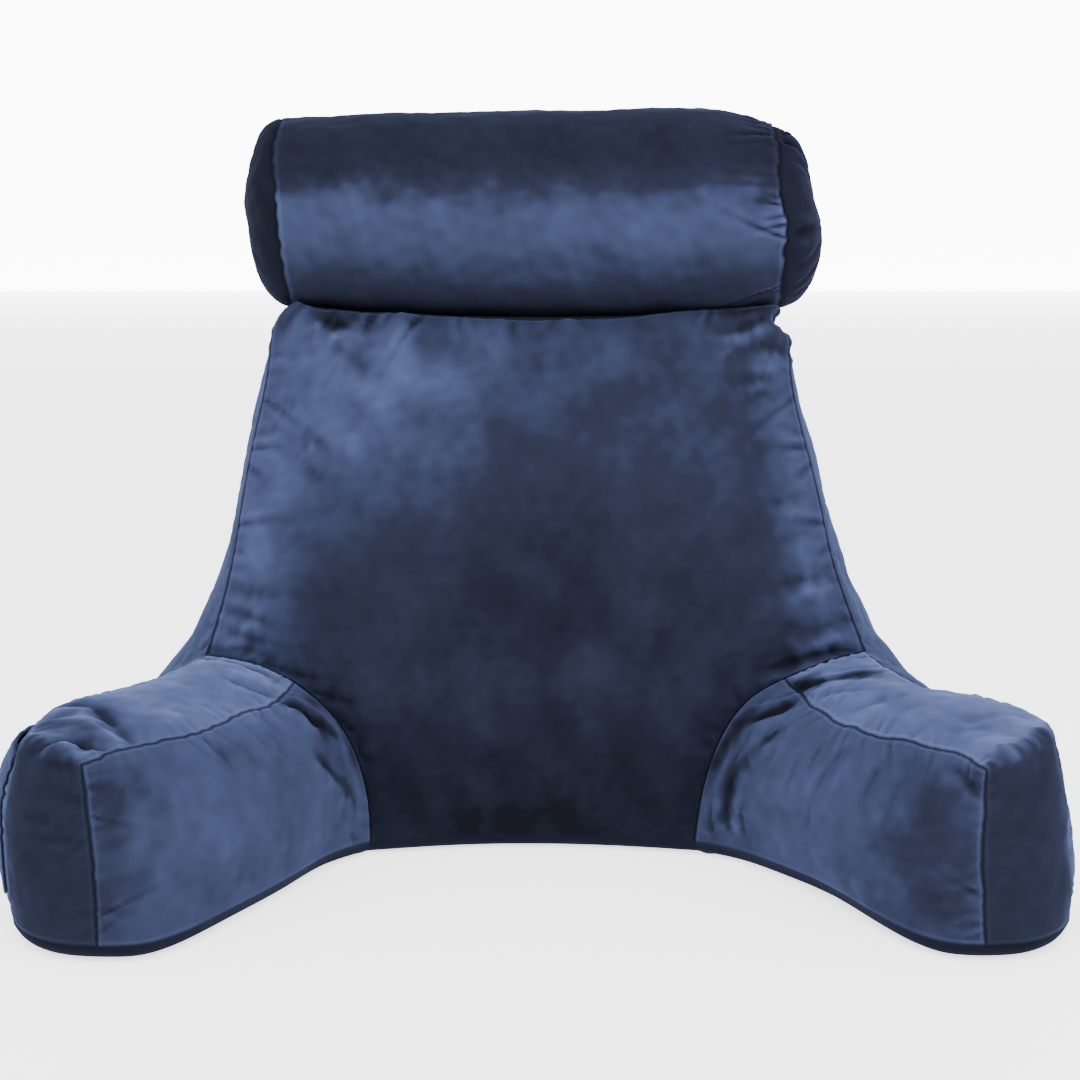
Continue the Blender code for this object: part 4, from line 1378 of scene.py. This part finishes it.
# The folds that stay: half width and height in millimetres, and the places along the fold, across
# (u) and up (v), in thousandths of the panel.
FOLDS = {
    "front": (
        (7, -4, (100, 970), (133, 949), (167, 941), (183, 962)),
        (2.5, 1.5, (94, 949), (144, 924), (178, 916), (194, 954)),
        (3, -2, (228, 992), (222, 966), (222, 941)),
        (4, -1.5, (294, 962), (311, 958), (322, 983)),
        (9, -1.6, (150, 903), (200, 890), (233, 873), (272, 848)),
        (5, -1.2, (811, 987), (872, 979), (961, 979)),
        (6, -1.8, (817, 932), (872, 937), (933, 949), (978, 962)),
        (5, 1.8, (800, 916), (867, 920), (933, 928)),
        (6, -1.5, (867, 890), (922, 899), (983, 886)),
        (5, 1.4, (789, 873), (833, 899), (872, 911)),
        (5, 1.8, (850, 865), (906, 865), (989, 865)),
        (5, -1.4, (822, 848), (878, 852), (939, 848)),
        (5, 1, (822, 835), (872, 840), (917, 844)),
        (5, -1.2, (833, 819), (889, 831), (933, 831)),
        (7.2, -1.1, (28, 818), (67, 818), (117, 814)),
        (7.2, -1.3, (117, 782), (167, 777), (206, 759)),
        (7.2, -1.5, (128, 764), (167, 745), (200, 732)),
        (1.8, -0.5, (228, 782), (222, 768), (217, 755)),
        (6, -1.8, (0, 623), (50, 609), (106, 591)),
        (6, -2.4, (0, 591), (50, 568), (106, 523)),
        (6, -2.4, (0, 555), (33, 532), (89, 464)),
        (6, -2.1, (0, 509), (33, 473), (61, 414)),
        (5.4, -2.1, (39, 400), (56, 364), (106, 345)),
        (4.8, -2.1, (28, 277), (100, 264), (172, 259)),
        (4.8, -1.8, (0, 155), (50, 150), (106, 141)),
        (4.8, -1.1, (6, 205), (67, 191), (117, 177)),
        (6, -1.1, (844, 705), (889, 714), (956, 727)),
        (6, -1.1, (867, 668), (911, 677), (967, 691)),
        (6, -2.1, (850, 595), (900, 614), (950, 627), (983, 632)),
        (4.8, 1.5, (978, 618), (922, 600), (878, 582)),
        (7.2, -1.8, (878, 518), (911, 509), (950, 536), (994, 568)),
        (4.8, 2.1, (978, 518), (950, 486), (933, 445)),
        (5.4, -3.8, (883, 373), (928, 382), (950, 409), (972, 445), (989, 477)),
        (3.6, 1.3, (989, 450), (989, 414), (978, 373), (956, 350)),
    ),
    "arm_top_right": (
        (4.6, -3.6, (0, 110), (150, 135), (450, 172), (750, 217)),
        (2.8, 1.6, (20, 150), (325, 200), (625, 255)),
        (3.1, -1.1, (175, 206), (325, 233), (500, 278)),
        (2.8, 0.6, (75, 333), (250, 333), (450, 333)),
        (3.8, -1, (200, 300), (325, 317), (575, 300)),
    ),
    "arm_inner_right": (
        (4.4, -3, (842, 633), (767, 700), (742, 783), (750, 900)),
        (2.8, 2, (917, 683), (817, 767), (792, 883)),
        (2.8, -1, (783, 617), (783, 567), (817, 500), (850, 417)),
        (5.8, -2.4, (800, 483), (817, 417), (833, 350), (833, 250), (825, 183)),
        (4, 1.3, (867, 333), (867, 233), (833, 100)),
        (3.8, -1.8, (900, 300), (925, 183), (892, 67)),
        (4, 1.4, (733, 500), (758, 400), (775, 283), (800, 117)),
        (4.2, -1.5, (742, 567), (700, 633), (683, 700)),
        (4, -1.2, (708, 567), (767, 517), (717, 467)),
        (3.8, -1.8, (750, 333), (758, 250), (758, 150)),
        (2.8, -0.8, (733, 617), (700, 717), (725, 883)),
        (3.1, 1, (667, 833), (650, 633), (667, 500), (675, 400)),
        (3.1, -1.1, (542, 783), (542, 683), (542, 600)),
        (3.1, -1, (583, 633), (583, 550), (592, 450)),
        (3.8, -1.1, (475, 800), (492, 650), (508, 517), (525, 383)),
        (3.8, 1, (458, 817), (458, 633), (475, 500)),
        (3.8, -1, (383, 817), (383, 667), (383, 550)),
        (3.8, -0.8, (317, 733), (317, 600), (325, 500)),
        (3.8, -1.8, (208, 883), (117, 850), (0, 817)),
        (3.1, -0.9, (158, 200), (83, 233), (8, 267)),
        (3.1, -0.8, (142, 133), (83, 150), (8, 183)),
        (3.1, -0.8, (175, 17), (100, 50), (8, 83)),
    ),
    "arm_top_left": (
        (3.8, -4, (950, 50), (650, 100), (400, 100), (200, 94)),
        (2.8, 1.4, (575, 160), (425, 155), (250, 145), (50, 117)),
        (3.1, -2.1, (475, 190), (325, 189), (175, 178), (10, 150)),
        (6.9, -4, (1000, 455), (800, 433), (575, 428), (350, 461), (30, 490)),
        (4.4, 2.8, (775, 520), (600, 510), (450, 500), (275, 510), (20, 512)),
        (5, -4.4, (500, 680), (430, 660), (350, 620), (220, 590), (50, 560)),
        (2.8, 1.4, (450, 683), (400, 672), (350, 645), (275, 633)),
        (2.8, 1.1, (350, 667), (250, 628), (100, 583), (20, 565)),
        (3.8, -1.4, (400, 694), (275, 683), (125, 678)),
        (3.1, -1.1, (300, 756), (200, 756), (30, 761)),
        (3.1, -1, (550, 800), (375, 794), (275, 800)),
        (3.1, -1, (475, 817), (325, 817), (100, 811)),
        (2.8, 0.8, (600, 417), (525, 411), (400, 428)),
        (2.8, 0.8, (600, 361), (500, 367), (350, 389)),
    ),
    "arm_inner_left": (
        (5, -3.2, (767, 950), (783, 783), (800, 667), (867, 583)),
        (3.4, 1.5, (850, 983), (840, 850), (840, 750), (865, 633)),
        (2.8, 1.3, (700, 850), (767, 783), (758, 683), (783, 583)),
        (3.8, -2.1, (708, 567), (742, 500), (767, 433)),
        (5, -1.2, (792, 450), (825, 383), (875, 300)),
        (4.2, 0.9, (758, 433), (817, 350), (908, 183)),
        (3.8, -1.3, (858, 150), (917, 33)),
        (2.8, -0.8, (633, 917), (642, 767), (667, 667)),
        (2.8, -0.8, (575, 917), (575, 750), (583, 667)),
        (2.8, -0.8, (617, 767), (617, 667), (625, 600)),
        (3.1, -1, (467, 867), (458, 717), (458, 617)),
    ),
}

# Streaks of painted shade along the folds, and a few of painted highlight: half width in
# millimetres, change of the tone, and the places along the streak.
STREAKS = {
    "front": (
        (9, -0.3, (106, 970), (139, 954), (167, 949), (178, 966)),
        (5, -0.12, (800, 996), (872, 987), (967, 979)),
        (6, -0.06, (817, 932), (872, 937), (933, 949), (978, 962)),
        (6, -0.08, (867, 890), (922, 899), (983, 886)),
        (5, 0.08, (800, 916), (867, 920), (933, 928)),
    ),
    "arm_top_right": (
        (6.5, -0.85, (0, 14), (111, 106), (444, 185), (711, 222)),
        (1.6, 0.15, (111, 65), (356, 139), (578, 162), (844, 204)),
    ),
    "arm_inner_right": (
        (5.5, -0.48, (847, 639), (785, 694), (757, 792), (757, 903)),
        (8, -0.32, (868, 708), (903, 597), (944, 500), (979, 375)),
        (5.5, -0.28, (771, 486), (819, 417), (819, 347), (840, 250), (826, 181)),
        (2.5, -0.25, (681, 694), (708, 625), (722, 583)),
    ),
    "arm_inner_left": (
        (5.5, -0.45, (757, 917), (785, 792), (806, 667), (861, 597)),
        (5, -0.22, (722, 556), (757, 472), (833, 347), (875, 250)),
        (8, -0.22, (900, 930), (935, 750), (965, 550), (985, 350)),
        (9, -0.07, (49, 778), (104, 708), (160, 653)),
        (12, -0.07, (174, 847), (229, 681), (243, 514)),
    ),
}

# How light each kind of panel is, and zones of changed tone: the pile's own tone with painted
# light and shade, the arms' tops painted lighter and the foot of the front darker. For a zone:
# the middle, half width and half height as shares of the panel, and the change.
PANEL_NAP_AND_SHADING = {
    "front": 0.43, "back": 0.45, "arm_inner": 0.58, "arm_top": 0.75, "outer": 0.5, "wing": 0.5
}
PILE_AND_SHADE_ZONES = {
    "front": (
        (0.27, 0.83, 0.22, 0.12, 0.22), (0.6, 0.9, 0.25, 0.08, 0.04), (0.5, 0.7, 0.12, 0.2, -0.06),
        (0.52, 0.48, 0.34, 0.22, -0.15), (0.5, 0.02, 0.7, 0.2, -0.4),
        (0.05, 0.62, 0.09, 0.24, 0.22), (0.95, 0.62, 0.08, 0.26, 0.18),
    ),
    "arm_top_left": ((0.55, 0.54, 0.5, 0.12, -0.26),),
    "arm_inner_right": (
        (0.17, 0.5, 0.17, 0.34, -0.18), (0.06, 0.85, 0.06, 0.14, -0.14),
        (0.86, 0.6, 0.1, 0.45, -0.12), (0.5, 0.05, 0.7, 0.32, -0.1),
    ),
    "arm_inner_left": (
        (0.05, 0.45, 0.11, 0.5, -0.17), (0.84, 0.7, 0.08, 0.35, -0.15),
        (0.62, 0.9, 0.2, 0.12, 0.08), (0.5, 0.05, 0.7, 0.32, -0.06),
    ),
    "outer_right": ((0.02, 0.6, 0.1, 0.6, 0.12),),
    "outer_left": ((0.02, 0.6, 0.1, 0.6, 0.12),),
}
FACE_SHADE = -0.44  # how much darker the front face of an arm is than its top
FACE_OVER = 0.006  # how far over the edge it starts, as a share of the panel
UNDER_SHADE, UNDER_MIDDLE_SHADE = 0.14, 0.10  # dark tones on the bottom panels: painted shade where the cloth turns under to the floor
FOOT_SHADE, FOOT_REACH = 0.06, 0.06  # how much darker the bottom is at an arm's front, and how far

# The cloth's unevenness: height, wavelength, seed and shade, which is how much lighter a rise is
# painted for each metre.
UNEVEN = ((0.0008, 0.060, 40, 20.0), (0.0002, 0.018, 41, 60.0))
UNEVEN_CLEAR = 0.02  # how far from every seam it is full


# ---- neck roll -------------------------------------------------------------------------------


@dataclass
class NeckRoll:
    """The stuffed roll on top: a turned body, drawn up at its ends, with a domed end panel each."""

    shift: np.ndarray
    seat: Cover  # whose top carries it
    z: float = 0.5050
    # the body's radius at places along the roll
    rows: tuple[tuple[float, float], ...] = (
        (-0.2125, 0.0785), (-0.170, 0.0810), (-0.116, 0.0836), (0.0, 0.0855),
        (0.094, 0.0860), (0.153, 0.0848), (0.1945, 0.0770),
    )
    domes: tuple[float, float] = (0.033, 0.039)  # how far each end panel stands out
    around: int = 240
    along: int = 160
    rings: int = 26
    gap: float = 0.0003  # between the roll and the backrest's top
    groove: float = 0.0012  # how deep the end seams are
    groove_wide: float = 0.0014  # and their half width
    droop: float = 0.003  # how far the top falls towards the right end
    droop_from: float = 0.150  # where along the roll it starts to
    droop_reach: float = 0.045  # and how much further on it is full
    slant: float = 0.007  # how far both end seams lean along the roll, at its foot
    slope: float = 0.25  # how much shallower the right end panel is at its top than in the middle
    # its unevenness: height, wavelength, seed and shade, which is how much lighter a rise is
    # painted for each metre
    uneven: tuple[tuple[float, ...], ...] = ((0.0006, 0.09, 63, 20.0), (0.0002, 0.02, 64, 60.0))
    nap: float = 0.26
    band: tuple[float, float] = (-36.0, 15.0)  # the painted band of light along the front, in degrees over the axis
    band_nap: float = 0.33  # how much lighter the painted band of light is
    # how dark each end panel is painted: painted shade on the ends
    dome_naps: tuple[float, float] = (0.09, 0.17)

    def build(self) -> bpy.types.Object:
        """Make the roll.

        The body's radius is a spline over x. A dome's radius falls as a cosine while it rises as
        a sine. Puckers, radial folds and seam grooves are added along the radius.

        Returns:
            The object of the roll's cover.
        """
        (x0, _), (x1, _) = self.rows[0], self.rows[-1]
        tube = x0 + (x1 - x0) * crowded(self.along, 0.6)
        line = smooth_line([(a, b, 0) for a, b in self.rows], np.linspace(0, 1, 400))
        radius = np.interp(tube, line[:, 0], line[:, 1])
        quarter = np.linspace(0, np.pi / 2, self.rings + 1)[1:]
        rise, fall = np.sin(quarter), np.cos(quarter)
        x = np.concatenate([(x0 - self.domes[0] * rise)[::-1], tube, x1 + self.domes[1] * rise])
        radius = np.concatenate([(radius[0] * fall)[::-1], radius, radius[-1] * fall])
        turn = np.linspace(0, 2 * np.pi, self.around + 1)
        middle = np.array([0.0, ROLL_Y, self.z])
        way = np.stack([0 * turn, np.cos(turn), np.sin(turn)], axis=-1)
        grid = middle + radius[:, None, None] * way
        grid[..., 0] = x[:, None]
        patch = Patch(Piece.ROLL.value, grid, {}, middle)
        self.pucker(patch, x, radius, turn)
        self.lay_nap(patch, x, turn)
        points = patch.points
        seat = self.seat.pressed_top(points[..., 0]) + self.gap
        points[..., 2] = np.maximum(points[..., 2], seat)
        points[:, -1] = points[:, 0]
        points[0], points[-1] = points[0].mean(axis=0), points[-1].mean(axis=0)
        return Shell([patch]).mesh(patch.name, self.shift)

    def pucker(self, patch: Patch, x: np.ndarray, radius: np.ndarray, turn: np.ndarray) -> None:
        """Gather the cloth at both end seams, tighter at the right, on the body and on the dome.

        Args:
            patch: the roll's cloth, which is changed.
            x: the place of each row along the roll.
            radius: the radius of each row.
            turn: the angle of each column.
        """
        x0, (x1, end_radius) = self.rows[0][0], self.rows[-1]
        thin = radius[:, None]
        arc = turn[None] * np.full((len(x), 1), end_radius)
        fade = np.clip(np.minimum(turn, 2 * np.pi - turn) / 0.4, 0, 1)
        ends = (
            # place; spacing, reach and height on the body; the same on the dome; seed
            (x0, 0.022, 0.018, 0.0006, 0.034, 0.020, 0.0008, 61),
            (x1, 0.0088, 0.021, 0.0026, 0.021, 0.034, 0.0026, 64),
        )
        for at, *body, dome_spacing, dome_reach, dome_height, seed in ends:
            off = (x - at)[:, None] * np.sign(at) + 0 * arc
            rise = body[2] * creases(arc, -np.minimum(off, 0), *body[:2], seed, 0.45) * (off <= 0)
            centre = np.clip(1.6 * thin / end_radius, 0, 1)
            end = np.clip(end_radius - thin + 0 * arc, 0, None)
            puckered = creases(arc, end, dome_spacing, dome_reach, seed + 1) * centre * (off > 0)
            # Puckers are painted lighter on their ridges and darker in their creases: painted
            # highlight and shade.
            patch.lift((rise + dome_height * puckered) * fade, SHADING_PER_METRE)
            # The end seam's groove is painted darker, a painted shade, and beside it lies a pale
            # line of painted highlight where the cloth turns over.
            patch.lift(-self.groove * bell(off, self.groove_wide), 150.0)
            patch.nap += 0.10 * bell(off + 0.0035, 0.0015)
            low = np.clip(-np.sin(turn + 0.5), 0, 1)[None] * np.exp(-np.abs(off) / 0.05)
            swing = 0.0012 * waves(arc, 0.05, seed) + 0.0007 * waves(arc, 0.012, seed + 2)
            swing *= np.exp(-np.abs(off) / 0.01) * fade
            patch.points[..., 0] += self.slant * low + swing
        past = np.clip(x - x1, 0, None)[:, None]
        patch.points[..., 0] -= self.slope * past * thin / end_radius * np.sin(turn)
        reach = np.clip((x - self.droop_from) / self.droop_reach, 0, 1)[:, None]
        patch.points[..., 2] -= self.droop * reach**2 * np.clip(np.sin(turn), 0, 1)
        patch.roughen(self.uneven)

    def lay_nap(self, patch: Patch, x: np.ndarray, turn: np.ndarray) -> None:
        """Paint the roll's tones: dark on top and below, painted shade on the end panels, and a
        painted band of light along the front, set by which way the cloth faces.

        Args:
            patch: the roll's cloth, which is changed.
            x: the place of each row along the roll.
            turn: the angle of each column.
        """
        up = np.degrees(np.arcsin(np.clip(np.sin(turn), -1, 1)))[None] + 0 * x[:, None]
        front = (np.cos(turn) < 0)[None]
        ragged = 2.5 * swell(patch.grid, 0.040, 65) + 1.2 * swell(patch.grid, 0.012, 66)
        low, high = self.band
        band = step_up(high - up - ragged, 5) * step_up(up - low + 0.5 * ragged, 10)
        tube = ((x > self.rows[0][0]) & (x < self.rows[-1][0]))[:, None]
        domes = np.where(x < 0, *self.dome_naps)[:, None]
        patch.nap += np.where(tube, self.nap + self.band_nap * band * front, domes)

    def dress(self, made: bpy.types.Object, velvet: bpy.types.Material) -> None:
        """Give the roll's cover its velvet and its place in the model.

        Args:
            made: the object of the roll's cover.
            velvet: the material.
        """
        made.data.materials.append(velvet)
        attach(made, "root")
        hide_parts("neck_roll")


# ---- side pocket -----------------------------------------------------------------------------


@dataclass
class SidePocket:
    """The pocket on the left arm's outer side: one cloth, sewn down on three edges, with a hem."""

    shift: np.ndarray
    cover: Cover  # which it is sewn to
    # where its foot, its hem's stitches, its mouth and its ends lie, as shares of the arm's panel
    foot: float = 0.18
    hem: float = 0.72
    mouth: float = 0.80
    ends: tuple[float, float] = (0.06, 0.72)
    cloth: float = 0.0012  # how thick the cloth is
    hem_cloth: float = 0.0024  # and where it is folded double
    off: float = 0.0008  # how far it lies off the arm
    fullness: float = 0.0022  # how much further its mouth stands out
    stitch: float = 0.0008  # how far the hem's stitches draw the cloth in
    nap: float = 0.5
    high: int = 44
    long: int = 90

    def build(self) -> bpy.types.Object:
        """Make the pocket's closed sheet on the arm's cloth.

        Its inner face is the arm's face moved out by a small gap and a fullness, which is a half
        sine along the pocket times the square of the height. Its outer face is a cloth further.
        The hem begins with a logistic step, and its stitches draw in as a bell.

        Returns:
            The pocket's object.
        """
        v = np.linspace(self.foot, self.mouth, self.high + 1)
        u = self.ends[0] + (self.ends[1] - self.ends[0]) * crowded(self.long)
        arm = self.cover.patches["outer_left"]
        outward = read_grid(arm.normals(), u, v)
        face = read_grid(arm.points, u, v)
        t, w = np.linspace(0, 1, self.high + 1)[:, None], np.linspace(0, 1, self.long + 1)[None]
        full = self.fullness * np.sin(np.pi * w) ** 0.7 * t**2
        past = v[:, None] - self.hem
        thick = self.cloth + (self.hem_cloth - self.cloth) * step_up(past, 0.008)
        thick = thick - self.stitch * bell(past, 0.012) + 0 * w
        low = face + outward * (self.off + full)[..., None]
        top = face + outward * (self.off + full + thick)[..., None]
        heart, way = (low + top).mean(axis=(0, 1)) / 2, outward.mean(axis=(0, 1))
        patches = [Patch("over", top, {}, heart - way), Patch("lining", low, {}, heart + way)]
        for edge in (np.s_[0], np.s_[-1], np.s_[:, 0], np.s_[:, -1]):
            rim = np.stack([low[edge], top[edge]])
            patches.append(Patch("rim", rim, {}, heart))
        for patch in patches:
            patch.nap += self.nap
        return Shell(patches).mesh(Piece.POCKET.value, self.shift)

    def dress(self, made: bpy.types.Object, velvet: bpy.types.Material) -> None:
        """Give the pocket its velvet and its place in the model, as a sheet laid on the cover.

        Args:
            made: the pocket's object.
            velvet: the material.
        """
        made.data.materials.append(velvet)
        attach(made, "root")
        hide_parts("side_pocket")


# ---- studio ----------------------------------------------------------------------------------


@dataclass(frozen=True)
class Studio:
    """A pale floor, soft lights and the camera."""

    camera_at: Point = (0.00458, -1.3946, 0.498)
    camera_tilt: float = np.radians(80)
    lens: float = 60.0
    shift_x: float = 2 / 1080
    floor_half: float = 12.0
    wall_high: float = 5.0
    floor_colour: Point = (0.86, 0.86, 0.86)
    lights: tuple[tuple[Point, Point, float, float], ...] = (
        # place, aim, size, watts
        ((0.1, -1.3, 2.3), (0.0, 0.0, 0.25), 2.2, 87.0),
        ((-2.2, -0.9, 1.2), (0.0, 0.0, 0.25), 1.6, 23.0),
        ((2.2, -0.9, 1.2), (0.0, 0.0, 0.25), 1.6, 23.0),
    )
    floor_glow: float = 1.8
    wall_glow: float = 8.0
    world_strength: float = 1.6

    def build(self) -> None:
        """Set the studio up around the object."""
        scene = bpy.context.scene
        h, top = self.floor_half, self.wall_high
        self.flat("floor", [(-h, -h, 0), (h, -h, 0), (h, h, 0), (-h, h, 0)], self.floor_glow)
        self.flat("backdrop", [(-h, h, 0), (h, h, 0), (h, h, top), (-h, h, top)], self.wall_glow)
        for number, (place, aim, size, power) in enumerate(self.lights):
            data = bpy.data.lights.new(f"soft_light_{number}", "AREA")
            data.size, data.energy = size, power
            way = np.array(aim) - np.array(place)
            placed(data.name, data, place).rotation_euler = self.facing(way)
        world = bpy.data.worlds.new("studio")
        world.use_nodes = True
        back = world.node_tree.nodes["Background"]
        back.inputs["Color"].default_value = (1, 1, 1, 1)
        back.inputs["Strength"].default_value = self.world_strength
        scene.world = world
        data = bpy.data.cameras.new("camera")
        data.lens, data.sensor_width, data.shift_x = self.lens, 36.0, self.shift_x
        scene.camera = placed("camera", data, self.camera_at)
        scene.camera.rotation_euler = (self.camera_tilt, 0, 0)

    def flat(self, name: str, corners: list[Point], glow: float) -> None:
        """A pale flat face of the studio, which glows a little.

        Args:
            name: the face's name.
            corners: its four corners.
            glow: how strongly it glows.
        """
        mesh = bpy.data.meshes.new(name)
        mesh.from_pydata(corners, [], [(0, 1, 2, 3)])
        made = placed(name, mesh)
        pale = bpy.data.materials.new(f"pale_{name}")
        pale.use_nodes = True
        shader = pale.node_tree.nodes["Principled BSDF"]
        shader.inputs["Base Color"].default_value = (*self.floor_colour, 1)
        shader.inputs["Roughness"].default_value = 0.8
        shader.inputs["Emission Color"].default_value = (1, 1, 1, 1)
        shader.inputs["Emission Strength"].default_value = glow
        mesh.materials.append(pale)
        made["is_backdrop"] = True

    @staticmethod
    def facing(way: np.ndarray) -> tuple[float, float, float]:
        """The Euler angles that turn a lamp's -Z along a direction."""
        level = np.hypot(way[0], way[1])
        return (np.arctan2(level, -way[2]), 0.0, np.arctan2(-way[0], way[1]))


def main() -> None:
    """Build the studio and each piece, dress the pieces and report them."""
    logging.basicConfig(level=logging.INFO, format="%(name)s: %(message)s")
    Studio().build()
    low, high = (np.array(corner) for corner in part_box("neck_roll"))
    middle = (low + high) / 2
    shift = np.array([middle[0] + CLOTH_RIGHT, middle[1] - ROLL_Y, 0.0])
    velvet = Velvet().material()
    cover = Cover(shift)
    for part in (cover, NeckRoll(shift, cover), SidePocket(shift, cover)):
        made = part.build()
        part.dress(made, velvet)
        LOG.info("%s: %d faces", made.name, len(made.data.polygons))
    boxes = {"cad": CAD_BOX, "visual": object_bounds()}
    boxes = {name: np.array(box, float).tolist() for name, box in boxes.items()}


if __name__ == "__main__":
    main()
